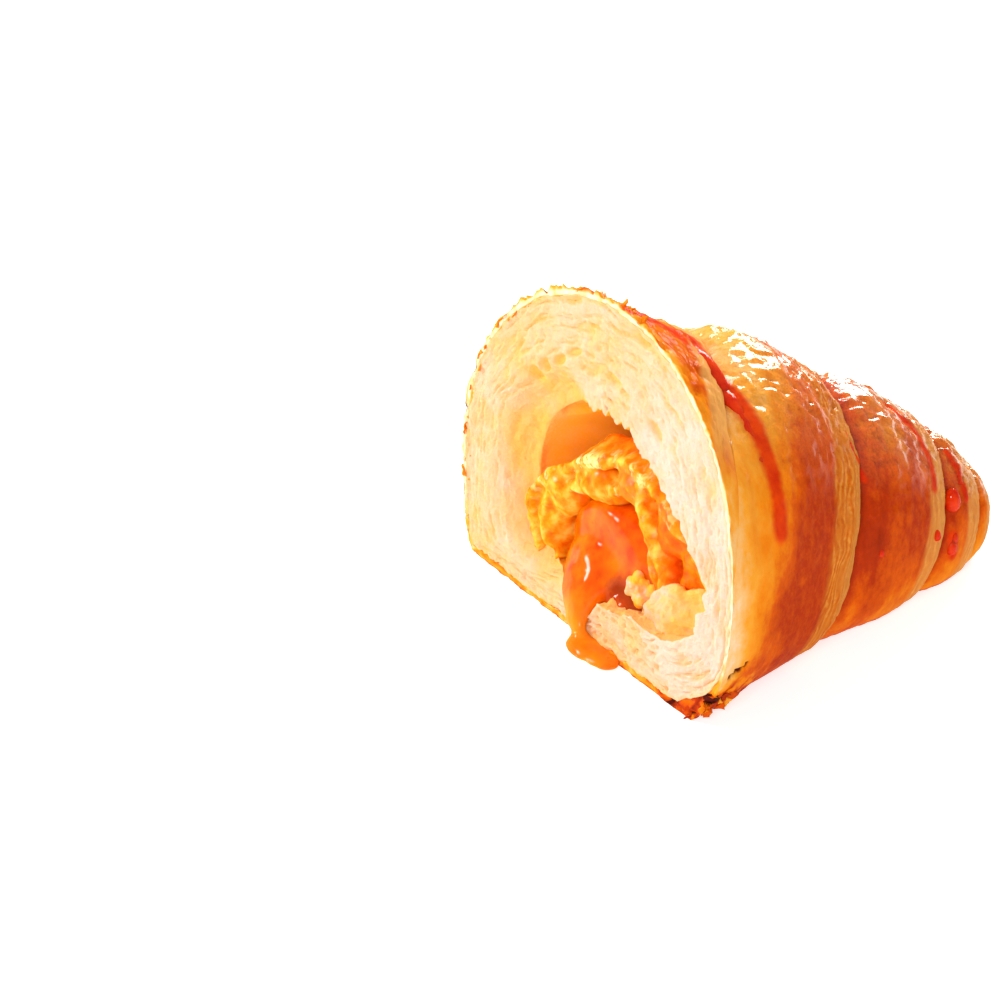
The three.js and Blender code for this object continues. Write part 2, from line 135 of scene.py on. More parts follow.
def along(column, x):
    """A smooth curve through one column of STATIONS."""
    at, y = STATIONS[:, 0], STATIONS[:, column]
    slope = np.empty(len(at))
    slope[1:-1] = (y[2:] - y[:-2]) / (at[2:] - at[:-2])
    slope[0] = (y[1] - y[0]) / (at[1] - at[0])
    slope[-1] = (y[-1] - y[-2]) / (at[-1] - at[-2])
    i = np.clip(np.searchsorted(at, x, side="right") - 1, 0, len(at) - 2)
    width = at[i + 1] - at[i]
    t = np.clip((x - at[i]) / width, 0, 1)
    curve = mix(y[i], y[i + 1], t * t * (3 - 2 * t))
    return curve + width * ((t - 2 * t**2 + t**3) * slope[i] + (t**3 - t**2) * slope[i + 1])


def edge_at(turns):
    return np.interp(turns, SPIRAL[:, 0], SPIRAL[:, 1])


def from_top(angle):
    """Angle from the top, between minus and plus half a turn; plus is the near side."""
    return (angle + math.pi) % TURN - math.pi


def wrap_at(x, angle):
    """For points of the crust: the wrap, its start and end, and the share of it passed."""
    a = from_top(angle)
    turns = np.interp(x, SPIRAL[:, 1], SPIRAL[:, 0]) + a / TURN
    wrap = np.clip(np.floor(turns).astype(int), 0, len(CROWN) - 1)
    start, end = edge_at(wrap - a / TURN), edge_at(wrap + 1 - a / TURN)
    width = np.maximum(end - start, 1e-4)
    return wrap, start, end, np.clip((x - start) / width, 0, 1)


def step_left(x, angle):
    """1 on a wrap, falling over its layered step to 0 at its edge."""
    wrap, start, end, _ = wrap_at(x, angle)
    step = np.minimum(STEP[wrap], STEP_SHARE * np.maximum(end - start, 1e-4))
    return np.clip((end - x) / step, 0, 1)


def swell(x, angle):
    """How far a wrap stands proud. Its step runs down and ends in a small upright lip."""
    wrap, _, _, share = wrap_at(x, angle)
    a = from_top(angle)
    rise = np.sin(math.pi / 2 * np.clip(share / RISES_OVER, 0, 1)) ** 0.8
    settled = 1 - SINKS_BY * smooth(RISES_OVER, 1, share)
    left = step_left(x, angle)
    drop = mix(left, mix(LIP, 1, left), smooth(0, 0.06, left))
    side = (0.65 + 0.35 * np.cos(a)) * smooth(math.pi, 2.6, np.abs(a))
    return CROWN[wrap] * rise * settled * drop * side * smooth(LENGTH, TIP_FADE, x)


def swell_seen(x, angle):
    """The swell, with the first seam baked shut where it runs into the cut."""
    own = swell(x, angle)
    degrees = np.degrees(from_top(angle))
    at_cut = np.maximum(swell(0 * x, angle), 0.9 * smooth(150, 110, degrees))
    level = mix(at_cut, swell(SEAM_CLOSED + 0 * x, angle), np.clip(x / SEAM_CLOSED, 0, 1))
    closed = smooth(34, 56, degrees) * smooth(170, 140, degrees) * smooth(SEAM_CLOSED, 5.5, x)
    return mix(own, np.maximum(own, level), closed)


def crust_point(x, angle, out=0.0):
    """Points of the crust, raised by `out`, as an array with a last axis of three."""
    x, angle, out = np.broadcast_arrays(np.asarray(x, float), angle, out)
    c, s = np.cos(angle), np.sin(angle)
    near, height, waist = along(1, x), along(2, x), along(3, x)
    is_near, is_top = s > 0, c >= 0
    far = near * (1 + FAR_WIDER * np.exp(-x / FLARE_REACH))
    half = np.maximum(np.where(is_near, near, far), 1e-4)
    nose = np.sqrt(np.clip((LENGTH - x) / NOSE_LENGTH, 0, 1))
    upright = np.maximum(np.where(is_top, height - waist, BELOW_WAIST * waist * nose), 1e-4)
    settled = smooth(0, SETTLED_AT, x)
    top_power, base_power = (np.where(is_near, near_power, far_power + gained * settled)
                             for near_power, far_power, gained in (TOP_POWERS, BASE_POWERS))
    power = np.where(is_top, top_power, base_power)
    radius = (np.abs(s / half) ** power + np.abs(c / upright) ** power) ** (-1 / power)
    radius = radius + swell_seen(x, angle) + out
    z = np.maximum(0, waist + radius * c)
    return xyz(x + LEAN * (z - LEAN_HEIGHT), AXIS_Y - radius * s, z)


def crust_at(x, degrees, out=0.0):
    """The same for a place in degrees from the top."""
    return crust_point(x, np.radians(degrees), out)


def mouth_radius(angle):
    """From the middle of the cut to the edge of the hollow."""
    dy, dz = (MOUTH - MOUTH_CENTRE).T
    return np.interp(angle % TURN, np.arctan2(-dy, dz) % TURN, np.hypot(dy, dz), period=TURN)


def hollow_point(depth, angle, out=0.0):
    """Points of the hollow's wall, `depth` behind the cut, moved outwards by `out`."""
    depth, angle, out = np.broadcast_arrays(np.asarray(depth, float), angle, out)
    waist = along(3, depth)
    taper = along(1, depth) / STATIONS[0][1]
    end = np.sqrt(np.clip(1 - (depth / HOLLOW_DEPTH) ** 3, 0, 1))
    behind = np.sin(math.pi * np.clip(depth / BULGE_LENGTH, 0, 1))
    bulge = 1 + HOLLOW_BULGE * np.clip(-np.sin(angle), 0, 1) * behind
    radius = (mouth_radius(angle) * mix(1, taper, HOLLOW_TAPER) * bulge + out) * end
    z = waist + radius * np.cos(angle)
    return xyz(depth + LEAN * (z - LEAN_HEIGHT), AXIS_Y - radius * np.sin(angle), z)


# %% [markdown]
# Baked dough is never even. Three kinds of unevenness are enough: smooth noise for lumps, clouds
# of it for scorching, and cells for blisters and pores. Each is worked out from whole-number
# lattice points, so the same place always gets the same value.

# %% Noise for shapes
CORNERS = [(dx, dy, dz) for dx in (0, 1) for dy in (0, 1) for dz in (0, 1)]
NEIGHBOURS = [(dx, dy, dz) for dx in (-1, 0, 1) for dy in (-1, 0, 1) for dz in (-1, 0, 1)]


def cell_value(ix, iy, iz, seed):
    """A repeatable value from 0 to 1 for each whole-number place."""
    h = (ix * 73856093) ^ (iy * 19349663) ^ (iz * 83492791) ^ (seed * 97409 + 12345)
    h = (h ^ (h >> 13)) * 1274126177
    h = h ^ (h >> 16)
    return (h & 0xFFFFFF) / 0xFFFFFF


def noise(p, size, seed=0):
    """Smooth noise from -1 to 1, with lumps about `size` across (one size or three)."""
    q = p / np.asarray(size, float)
    base = np.floor(q).astype(np.int64)
    t = q - base
    t = t * t * (3 - 2 * t)
    total = 0.0
    for corner in CORNERS:
        weight = np.prod(np.where(corner, t, 1 - t), axis=-1)
        total = total + weight * cell_value(*np.moveaxis(base + corner, -1, 0), seed)
    return 2 * total - 1


def clouds(p, size, octaves=3, seed=0):
    """Noise with finer noise on it, from about -1 to 1."""
    total, size = 0.0, np.asarray(size, float)
    for k in range(octaves):
        total = total + noise(p, size / 2**k, seed + 17 * k) / 2**k
    return total / (2 - 2 ** (1 - octaves))


def blobs(p, size, seed=0):
    """Cells: distance to the nearest seed point in cell widths, and that cell's value."""
    q = p / np.asarray(size, float)
    base = np.floor(q).astype(np.int64)
    nearest = np.full(q.shape[:-1], 9.0)
    value = np.zeros(q.shape[:-1])
    for neighbour in NEIGHBOURS:
        cell = base + neighbour
        place = xyz(*(cell_value(*np.moveaxis(cell, -1, 0), seed + k) for k in (1, 2, 3)))
        distance = np.linalg.norm(cell + place - q, axis=-1)
        closer = distance < nearest
        nearest = np.where(closer, distance, nearest)
        value = np.where(closer, place[..., 0], value)
    return nearest, value


print("noise from", len(CORNERS), "corners, cells from", len(NEIGHBOURS), "neighbours")

# %% [markdown]
# Every skin here is a sheet of quads whose points are moved to where a function puts them. Rolled
# round, its two side edges meet and are merged, and its first and last rows can close to a point,
# so a loaf, a tube and a drop all come from the same tool. Soft pieces that touch are melted into
# one by remeshing, and a last touch of noise roughens them. Values for the materials, such as how
# brown a place is, are kept on the points as attributes.

# %% Sheets, skins and slabs
MERGE_DISTANCE = 2e-7            # in metres


def keep_mesh(name, bm, smooth_faces=True):
    """Ends a mesh: faces outwards, shaded, and linked as an object at the origin."""
    bmesh.ops.recalc_face_normals(bm, faces=bm.faces)
    mesh = bpy.data.meshes.new(name)
    bm.to_mesh(mesh)
    bm.free()
    if smooth_faces:
        mesh.shade_smooth()
    piece = bpy.data.objects.new(name, mesh)
    bpy.context.scene.collection.objects.link(piece)
    return piece


def sheet_bmesh(points, values=None, rolled=True):
    """A sheet of quads through a table of points in millimetres: rows, columns, three."""
    rows, columns = points.shape[:2]
    across = columns if rolled else columns - 1
    bm = bmesh.new()
    bmesh.ops.create_grid(bm, x_segments=across, y_segments=rows - 1, size=0.5)
    mesh = bpy.data.meshes.new("sheet")
    bm.to_mesh(mesh)
    bm.free()
    flat = np.empty(len(mesh.vertices) * 3)
    mesh.vertices.foreach_get("co", flat)
    flat = flat.reshape(-1, 3)
    column = np.rint((flat[:, 0] + 0.5) * across).astype(int) % columns
    row = np.rint((flat[:, 1] + 0.5) * (rows - 1)).astype(int)
    placed = (points[row, column] + SHIFT) * MM
    mesh.vertices.foreach_set("co", placed.ravel())
    for key, table in (values or {}).items():
        layer = mesh.attributes.new(key, "FLOAT", "POINT")
        layer.data.foreach_set("value", np.broadcast_to(table, points.shape[:2])[row, column])
    bm = bmesh.new()
    bm.from_mesh(mesh)
    bpy.data.meshes.remove(mesh)
    bmesh.ops.remove_doubles(bm, verts=bm.verts, dist=MERGE_DISTANCE)
    return bm


def skin(name, points, values=None):
    """A closed skin: the table's columns go round, and its first and last rows are points."""
    return keep_mesh(name, sheet_bmesh(points, values))


def slab(name, points, thickness, values=None):
    """An open sheet made into a slab of even thickness in millimetres."""
    bm = sheet_bmesh(points, values, rolled=False)
    bmesh.ops.recalc_face_normals(bm, faces=bm.faces)
    bmesh.ops.solidify(bm, geom=bm.faces, thickness=thickness * MM)
    return keep_mesh(name, bm)


def joined(name, parts):
    """One object of several, with their attributes."""
    bm = bmesh.new()
    for part in parts:
        bm.from_mesh(part.data)
        bpy.data.objects.remove(part)
    return keep_mesh(name, bm)


def melted(name, parts, voxel, smoothing):
    """Closed pieces made one by remeshing, then smoothed. Their attributes are carried over."""
    piece = joined(name, parts)
    tree = KDTree(len(piece.data.vertices))
    for vertex in piece.data.vertices:
        tree.insert(vertex.co, vertex.index)
    tree.balance()
    tables = {}
    for attribute in piece.data.attributes:
        if attribute.data_type == "FLOAT" and attribute.domain == "POINT":
            tables[attribute.name] = np.empty(len(attribute.data))
            attribute.data.foreach_get("value", tables[attribute.name])
    remesh = piece.modifiers.new("melt", "REMESH")
    remesh.mode = "VOXEL"
    remesh.voxel_size = voxel * MM
    evaluated = piece.evaluated_get(bpy.context.evaluated_depsgraph_get())
    bm = bmesh.new()
    bm.from_mesh(evaluated.to_mesh())
    evaluated.to_mesh_clear()
    bpy.data.objects.remove(piece)
    for _ in range(smoothing):
        bmesh.ops.smooth_vert(bm, verts=bm.verts, factor=0.5, use_axis_x=True,
                              use_axis_y=True, use_axis_z=True)
    nearest = [tree.find(vertex.co)[1] for vertex in bm.verts]
    for key, table in tables.items():
        layer = bm.verts.layers.float.new(key)
        for vertex, index in zip(bm.verts, nearest):
            vertex[layer] = table[index]
    return keep_mesh(name, bm)


def roughened(piece, size, amount, seed):
    """Moves the points of a piece along their normals by noise of this size, in millimetres."""
    mesh = piece.data
    place, normal = np.empty((2, len(mesh.vertices) * 3))
    mesh.vertices.foreach_get("co", place)
    mesh.vertices.foreach_get("normal", normal)
    place, normal = place.reshape(-1, 3) / MM, normal.reshape(-1, 3)
    place = place + normal * (amount * clouds(place, size, 3, seed=seed))[:, None]
    place[:, 2] = np.maximum(place[:, 2], 0.0)
    mesh.vertices.foreach_set("co", (place * MM).ravel())
    mesh.update()
    return piece


def tell(piece):
    """Prints how many triangles a piece has."""
    triangles = sum(len(face.vertices) - 2 for face in piece.data.polygons)
    print(piece.name, "has", triangles, "triangles")


# %% [markdown]
# The crust is a thin baked shell. Its rows of points follow the wraps, so that the layered step at
# each wrap's edge is sharp, and a few plain rings close the shell round the tip.

# %% Rows of the crust
AROUND = 300
BODY_ROWS = [46, 72, 50, 20, 10]
STEP_ROWS = [12, 15, 13, 8, 5]
TIP_ROWS_FROM = 1.7              # plain rings close the shell this close to the tip
TIP_ROWS = (1.4, 1.0, 0.65, 0.35, 0.1)
STEP_FOOT = 0.04                 # each step drops within this distance
angles = TURN * np.arange(AROUND) / AROUND


def ring_line(turns, angle):
    """Where the row of points for so many turns of the spiral lies, as distance from the cut."""
    if turns == 0:
        return np.zeros_like(angle)
    a = from_top(angle)
    eased = a * (1 - smooth(SEAM_FROM, math.pi, np.abs(a)))
    return np.clip(edge_at(turns - eased / TURN), RIM_BAND, LENGTH - TIP_ROWS_FROM)


def crust_rows():
    """Distances from the cut for every row of the shell, from the cut to the tip."""
    rows = []
    for wrap, (body, step) in enumerate(zip(BODY_ROWS, STEP_ROWS)):
        last = LAST_TURNS if wrap == len(BODY_ROWS) - 1 else wrap + 1
        start, end = ring_line(wrap, angles), ring_line(last, angles)
        shoulder = end - np.minimum(STEP[wrap], STEP_SHARE * (end - start))
        rows += [mix(start, shoulder, k / body) for k in range(min(wrap, 1), body)]
        rows += [mix(shoulder, end, min(0.995, 1 - (1 - k / step) ** 1.3))
                 for k in range(step + 1)]
        rows.append(np.minimum(end + STEP_FOOT, LENGTH))
    rows += [np.full(AROUND, LENGTH - back) for back in TIP_ROWS]
    return np.maximum.accumulate(rows, axis=0)


ROW_X = crust_rows()
GRID_A = np.broadcast_to(angles, ROW_X.shape)
a_deg = np.degrees(from_top(GRID_A))
turned = np.abs(a_deg)           # degrees from the top, to either side
off_ridge = np.abs(a_deg - 2)    # degrees from the ridge, which lies a little to the near side
smooth_crust = crust_point(ROW_X, GRID_A)
wrap, start, end, share = wrap_at(ROW_X, GRID_A)
left = step_left(ROW_X, GRID_A)
to_edge = xyz(end - ROW_X, smooth_crust[..., 1], smooth_crust[..., 2])
print("the crust has", *ROW_X.shape, "rows and columns")

# %% [markdown]
# On the crust lie, from large to small: lumps, blisters on the tops, ridges that run round with
# the stretched dough, and terraces where the cut layers show on each step. The burnt corner at the
# foot of the cut has open holes.

# %% Relief of the crust
STRIP = np.array([5.4, 8.6, 6.4, 6.0, 5.0, 3.0])   # width of the layered strip beside each edge
LAYER = 1.4                      # thickness of one layer on it
BURNT_HOLES = [                  # distance from the cut, degrees, radius, depth
    (7.5, 132, 2.0, 1.7), (0.6, 116, 1.5, 1.4), (3.8, 134, 1.3, 1.3), (3.1, 106, 0.9, 0.8),
    (1.2, 126, 1.2, 1.1), (11.5, 128, 1.0, 0.8), (4.2, 106, 0.8, 0.7), (5.2, 105, 0.7, 0.6),
    (2.2, 107, 0.8, 0.7), (0.4, 137, 1.0, 0.9),
]
BURNT_CORNER = (2, 125)          # its middle, as distance from the cut and degrees


def dent(points, x, degrees, radius, uneven=1.0):
    """1 in a hole of the burnt corner, falling to 0 round it."""
    distance = distance_to(crust_at(x, degrees), points)
    return smooth(radius * 1.15, radius * 0.55, distance * uneven)


lumps = 0.34 * clouds(smooth_crust, 9, 2, seed=3) * smooth(0, 6, ROW_X)
near_blister, blister_value = blobs(smooth_crust * [0.55, 0.9, 0.9], 2.3, seed=11)
blister = smooth(0.66, 0.1, near_blister) * smooth(0.35, 0.9, blister_value)
wrinkles = 1 - np.abs(clouds(smooth_crust, (3.4, 1.5, 1.5), 3, seed=23)) * 2.2
creases = clouds(to_edge, (1.1, 7, 7), 3, seed=31)
crown_share = smooth(-0.02, 0.1, share) * smooth(0, 0.4, left)
relief = lumps + crown_share * (smooth(95, 20, off_ridge) * (0.5 * blister + 0.5 * wrinkles)
                                + 0.12 * creases)

layers = (end - ROW_X) / LAYER + 1.6 * clouds(to_edge, (2.6, 5, 5), 3, seed=41)
ragged = (0.1 + 0.16 * smooth(-20, -60, a_deg)) * clouds(to_edge, (9, 5, 5), 2, seed=43)
is_step = smooth(1.06, 0.8, (end - ROW_X) / STRIP[wrap] + ragged)
is_step = is_step * smooth(165, 120, turned) * (1 - (wrap == 0) * smooth(40, 60, a_deg))
terrace = (layers - np.floor(layers)) - 0.5
flaky = 0.16 * clouds(smooth_crust, 1.3, 2, seed=47)
relief = relief + is_step * (0.2 * (0.35 + 0.65 * smooth(1, 0.9, left)) * terrace + flaky)

hole = np.zeros(ROW_X.shape)
uneven_hole = 1 + 0.35 * clouds(smooth_crust, 1.2, 2, seed=53)
for at_x, at_deg, radius, depth in BURNT_HOLES:
    open_here = dent(smooth_crust, at_x, at_deg, radius, uneven_hole)
    relief = relief - depth * open_here
    hole = np.maximum(hole, open_here)
corner = smooth(15, 3, distance_to(crust_at(*BURNT_CORNER), smooth_crust))
relief = relief + corner * 0.9 * clouds(smooth_crust, 2.4, 4, seed=59)
print("burnt holes:", len(BURNT_HOLES))

# %% [markdown]
# Glaze has spread in thin films beside its strings, and fills the small relief there. Then the
# rows move out by the whole relief, and the edges of the wraps and of the cut get ragged.

# %% Films of glaze and the outside of the crust
FILMS = [                        # places as (distance from the cut, degrees), reach on either side
    ([[12.2, 8], [11.2, 20], [11.6, 30], [11.9, 40], [12.0, 50], [11.8, 60], [11.6, 69]], 1.9),
    ([[0.4, -13], [1.5, -6], [3.2, -1]], 1.5),
    ([[1.0, 6], [4, 4], [7.4, 3], [8.8, 7], [8.3, 12]], 1.6),
    ([[33.8, 38], [36.0, 46], [36.4, 52]], 0.6),
    ([[50, 14], [52.6, 26], [53.4, 40], [53.0, 54]], 1.1),
    ([[61.4, 28], [62.0, 44], [62.6, 58]], 0.9), ([[58.6, 84], [59.2, 96]], 1.2),
]
FILM_SPOTS = 24                  # round spots of glaze that make one film
mottle = clouds(smooth_crust, 2.8, 3, seed=79)
film = np.zeros(ROW_X.shape)
for places, reach in FILMS:
    for t in np.linspace(0, 1, FILM_SPOTS):
        spot = crust_at(*at_row(places, t * (len(places) - 1)))
        distance = distance_to(spot, smooth_crust) * (1 + 0.3 * mottle)
        film = np.maximum(film, smooth(reach * 1.35, reach * 0.5, distance))
relief = relief * (1 - 0.5 * film) + 0.2 * film

outside = crust_point(ROW_X, GRID_A, relief)
wobble = 0.5 * clouds(smooth_crust, (400, 6, 6), 2, seed=61) * smooth(0.5, 0, left)
outside[..., 0] += wobble * smooth(0.4, 3, ROW_X) * smooth(LENGTH, LENGTH - 8, ROW_X)
outside[..., 0] = np.maximum(outside[..., 0], LEAN * (outside[..., 2] - LEAN_HEIGHT) - 0.35)
tufts = smooth(-125, -80, a_deg) * smooth(22, 4, a_deg) * smooth(2.2, 0.3, ROW_X)
tufts = tufts * clouds(smooth_crust, 1.3, 3, seed=69)
outwards = (smooth_crust - xyz(ROW_X, AXIS_Y, along(3, ROW_X))) * [0, 1, 1]
outwards /= np.maximum(np.linalg.norm(outwards, axis=-1, keepdims=True), 1e-6)
outside = outside + outwards * (1.25 * tufts + 0.1 * (tufts > 0))[..., None]
outside[0, :, 0] += 0.35 * clouds(outside[0] * [0, 1, 1], 1.6, 3, seed=67)
print(f"glaze films cover {100 * np.mean(film > 0.5):.1f} % of the rows")

# %% [markdown]
# How brown each place is: every wrap has its own level and gains colour towards its edge. It is
# paler underneath, partly less baked and partly as painted light bounced from the table, paler on
# the tops that face up, partly as painted highlight, and paler beside the cut, streaked and
# mottled everywhere, brown where it stood on the tray, and charred at the corner.

# %% Browning of the crust
BROWN = np.array([0.44, 0.39, 0.73, 0.69, 0.60, 0.56])      # of each wrap
BROWN_GAIN = np.array([0.08, 0.42, -0.03, 0.0, 0.0, 0.0])   # towards its edge
bake = BROWN[wrap] + BROWN_GAIN[wrap] * smooth(0.12, 0.68, share)
bake = bake + 0.08 * smooth(0.14, 0, share) * (wrap > 1)
# lower sides paler: partly less baked, partly painted light bounced up from the table
under = smooth(92, 130, turned)
bake = (bake - 0.17 * under * smooth(0.95, 0.45, share) * (wrap < 2)
        - 0.17 * smooth(70, 125, turned) * (wrap >= 2))
fade = 0.27 * (0.3 + 0.7 * smooth(40, 78, turned))       # beside the cut, most on the sides
bake = bake - fade * smooth(6.2 + 3 * under, 0.4, ROW_X) + 0.10 * mottle * (wrap == 0)
scorch = clouds(to_edge, (5, 16, 16), 3, seed=71)
streaks = clouds(to_edge, (2.6, 9, 9), 3, seed=73)
bake = bake + 0.07 * scorch + 0.12 * streaks + 0.09 * mottle
bake = np.where(wrap == 1, np.minimum(bake, 0.72), bake)
# partly painted highlight: the tops of the wraps are made paler along the ridge, where their coat
# shines
bake = bake - smooth(62, 24, off_ridge) * (0.16 * (wrap >= 2) + 0.16 * (wrap == 1))
glazed_side = smooth(0.8, 2.6, ROW_X) * smooth(-28, -4, a_deg) * smooth(60, 44, a_deg)
glazed_side = glazed_side * (wrap == 0)
bake = mix(bake, 0.58 + 0.22 * mottle, 0.9 * glazed_side)
floor_brown = smooth(1.0, 0.15, outside[..., 2])
bake = mix(bake, 0.72 + 0.1 * mottle, floor_brown)
charred = clouds(smooth_crust, 1.6, 3, seed=93)
bake = mix(bake, np.clip(0.72 + 0.75 * charred, 0.25, 1.0), 0.95 * corner)

strip = is_step * (1 - floor_brown)
shine = smooth(60, 30, off_ridge) * (1 - 0.96 * (wrap == 0)) * (1 - 0.5 * strip)
shine = shine * (1 + 1.0 * (wrap >= 2)) * (1 - 0.85 * film)
pale = 0.6 * (wrap == 0) * smooth(-70, -5, a_deg) + 0.25 * (wrap >= 2)
print(f"browning runs from {bake.min():.2f} to {bake.max():.2f}")

# %% [markdown]
# The knife shows how thick the crust is: thicker below, and most at the burnt corner. A rim of
# small rough rows joins the outside to an inner side, and both ends close to a point.

# %% The rim and the closed shell
WALL = 0.9                       # thickness of the baked shell
RIM_ROWS = 7
INNER_X = [*np.linspace(LENGTH - 2.2, 6, 12), 3, 1, 0.2]   # rows of the inner side, tip to cut


def rim_depth(angle):
    """Thickness of the crust where the knife cut it."""
    degrees = np.degrees(from_top(angle))
    uneven = clouds(xyz(9 * np.cos(angle), 9 * np.sin(angle), 0), 0.8, 3, seed=83)
    depth = 0.75 + 0.55 * smooth(100, 150, np.abs(degrees))
    return depth + 2.3 * np.exp(-(((degrees - 127) / 12) ** 2)) + 0.35 * uneven


def base_crust(place):
    """Thickness of the crust under the foot of the cut."""
    return 1.25 + 0.4 * clouds(place * [0, 1, 0], 1.4, 3, seed=85)


def rim_row(inwards):
    """A row across the cut crust, this share of its thickness inwards."""
    row = crust_point(0.0, angles, -rim_depth(angles) * inwards)
    rough = clouds(row, 0.9, 3, seed=87) + 0.6 * clouds(row, 0.45, 2, seed=89)
    row[..., 0] += 0.28 * rough * (1 + 1.6 * corner[0]) + 0.25 * corner[0]
    for at_x, at_deg, radius, depth in BURNT_HOLES:
        row[..., 0] += depth * dent(row, at_x, at_deg, radius)
    row[..., 2] = np.maximum(row[..., 2], 0.05 + base_crust(row) * inwards)
    return row


rim = np.array([rim_row(1 - k / RIM_ROWS) for k in range(1, RIM_ROWS)])
low = smooth(98, 125, turned[0])
rim_mottle = clouds(rim, 1.1, 3, seed=91)
rim_bake = 0.06 + 0.34 * low + 0.30 * corner[0] + (0.18 + 0.25 * low) * rim_mottle
rim_bake = rim_bake - 0.04 * smooth(25, 60, a_deg[0]) * smooth(110, 95, a_deg[0])

inner = np.array([crust_point(x, angles, -WALL - swell_seen(x, angles)) for x in INNER_X])
inner[-1] = crust_point(0.15, angles, -rim_depth(angles))
inner[-2] = crust_point(1.0, angles, -rim_depth(angles))
inner[..., 2] = np.maximum(inner[..., 2], 0.55)
inner[-2:, :, 2] = np.maximum(inner[-2:, :, 2], base_crust(inner[-2:]))
tip = np.broadcast_to([LENGTH, AXIS_Y, along(3, np.array(LENGTH))], (1, AROUND, 3))


def padded_rows(values, first=None, last=0.0, on_rim=None):
    """Adds the values of the inner side, the rim and the tip to those of the outer rows."""
    first = values[0] if first is None else first
    before = np.broadcast_to(first, (len(inner) + 1, AROUND))
    between = np.broadcast_to(first if on_rim is None else on_rim, (len(rim), AROUND))
    return np.concatenate([before, between, values, np.full((1, AROUND), last)])


crust = skin("crust", np.concatenate([tip - [2.4, 0, 0], inner, rim, outside, tip]), {
    "bake": padded_rows(bake, last=0.5, on_rim=rim_bake),
    "strip": padded_rows(strip, 0.0), "layer": padded_rows(layers, 0.0),
    "hole": padded_rows(hole), "film": padded_rows(film, 0.0),
    "shine": padded_rows(shine, 0.0), "pale": padded_rows(pale, 0.0, 0.3),
})
tell(crust)

# %% [markdown]
# The crumb is what the knife laid open: thin layers of dough wound round the roll, with long pores
# between them. On the far side the edge of the hollow is rounded, at the top and near side it is
# torn into teeth. A few open pockets lie by the top of the cut.

# %% The cut face of the crumb
CRUMB_AROUND = 480
FACE_ROWS = 74
TUCK = 0.15                      # how far the crumb reaches into the crust
CRUMB_FLOOR = 0.6                # its lowest place, inside the bottom crust
POCKETS = [                      # Y, Z, half length round, half width, depth
    (14.0, 40.5, 2.6, 1.1, 1.6), (9.0, 43.0, 2.2, 0.9, 1.4), (17.6, 37.6, 1.6, 1.5, 1.5),
    (5.0, 45.6, 2.4, 0.8, 1.0), (-6.0, 45.0, 3.0, 0.8, 1.0), (-18.0, 41.0, 2.6, 0.8, 0.9),
]
crumb_angles = TURN * np.arange(CRUMB_AROUND) / CRUMB_AROUND
deg = np.degrees(from_top(crumb_angles))
far_side = smooth(-8, -50, deg) * smooth(-150, -120, deg)
torn_side = smooth(-30, 0, deg) * smooth(120, 100, deg)


def crumb_ring(radius):
    """Places on a ring of this radius, so that noise is even all the way round."""
    return radius * np.cos(crumb_angles), radius * np.sin(crumb_angles)


tooth = clouds(xyz(*crumb_ring(9), 0), 0.5, 2, seed=101)
tooth = tooth * mix(0.35, 1.35, torn_side) * (1 - 0.8 * far_side)
rim_points = crust_point(0.0, crumb_angles, TUCK - rim_depth(crumb_angles))
rim_points[..., 2] = np.maximum(rim_points[..., 2], base_crust(rim_points) - TUCK)
mouth_points = hollow_point(0.0, crumb_angles)
inwards = unit((np.array([0, *MOUTH_CENTRE]) - mouth_points) * [0, 1, 1])
mouth_points = mouth_points + inwards * tooth[:, None]
face_share = np.linspace(0, 1, FACE_ROWS)
face = mix(rim_points[None], mouth_points[None], face_share[:, None, None])
face_width = distance_to(mouth_points, rim_points)
from_rim = face_share[:, None] * face_width[None]
from_mouth = face_width[None] - from_rim

# pores between the wound layers, finer ones below, and the open pockets
spiral_depth = from_rim + 1.7 * crumb_angles[None] / TURN * smooth(179, 150, np.abs(deg))[None]
warp = clouds(face, (9, 6, 6), 2, seed=97)
layer_place = xyz(*crumb_ring(26), spiral_depth + 1.3 * warp)
patchy = clouds(face, (9, 8, 8), 2, seed=99)
long_pores = clouds(layer_place, (5.0, 5.0, 0.85), 3, seed=103) + 0.22 * patchy
short_pores = clouds(layer_place, (2.2, 2.2, 0.75), 2, seed=107)
fine_pores, fine_pore_value = blobs(face * [0, 1, 1], 1.05, seed=109)
ledge = np.maximum(smooth(118, 135, deg), smooth(-150, -172, deg))[None]
pore = smooth(0.14, 0.5, long_pores) * 0.75 + smooth(0.18, 0.6, short_pores + 0.3 * patchy) * 0.6
honey = smooth(0.5, 0.2, fine_pores) * smooth(0.25, 0.8, fine_pore_value)
pore = mix(pore, 0.6 * pore + 0.7 * honey, 0.35 + 0.5 * ledge)
pore = pore * smooth(0, 0.8, from_rim) * smooth(0, 1.2, from_mouth)
pore = pore * mix(1.0, 0.45, far_side[None] * smooth(9, 2, from_mouth))
for y, z, half_length, half_width, depth in POCKETS:
    turn = math.atan2(-(y - MOUTH_CENTRE[0]), z - MOUTH_CENTRE[1])
    dy, dz = face[..., 1] - y, face[..., 2] - z
    round_way = (-dy * math.cos(turn) - dz * math.sin(turn)) / half_length
    out_way = (-dy * math.sin(turn) + dz * math.cos(turn)) / half_width
    pocket = smooth(1.15, 0.5, np.hypot(round_way, out_way) + 0.25 * long_pores)
    pore = np.maximum(pore, pocket * depth)
wall_lines = 0.20 * clouds(layer_place, (2.6, 2.6, 0.45), 3, seed=113)
face_relief = 0.85 * pore + wall_lines + 0.28 * clouds(face, 1.0, 3, seed=127)
face_relief = face_relief + 0.7 * clouds(face, 6, 3, seed=131) * smooth(0, 2, from_rim)
fillet = far_side[None] * 4.2 * smooth(8.5, 0, from_mouth) ** 1.7
face = face + xyz(face_relief + fillet, 0, 0)
face[..., 2] = np.maximum(face[..., 2], CRUMB_FLOOR)
print("the cut face has", *pore.shape, "rows and columns")

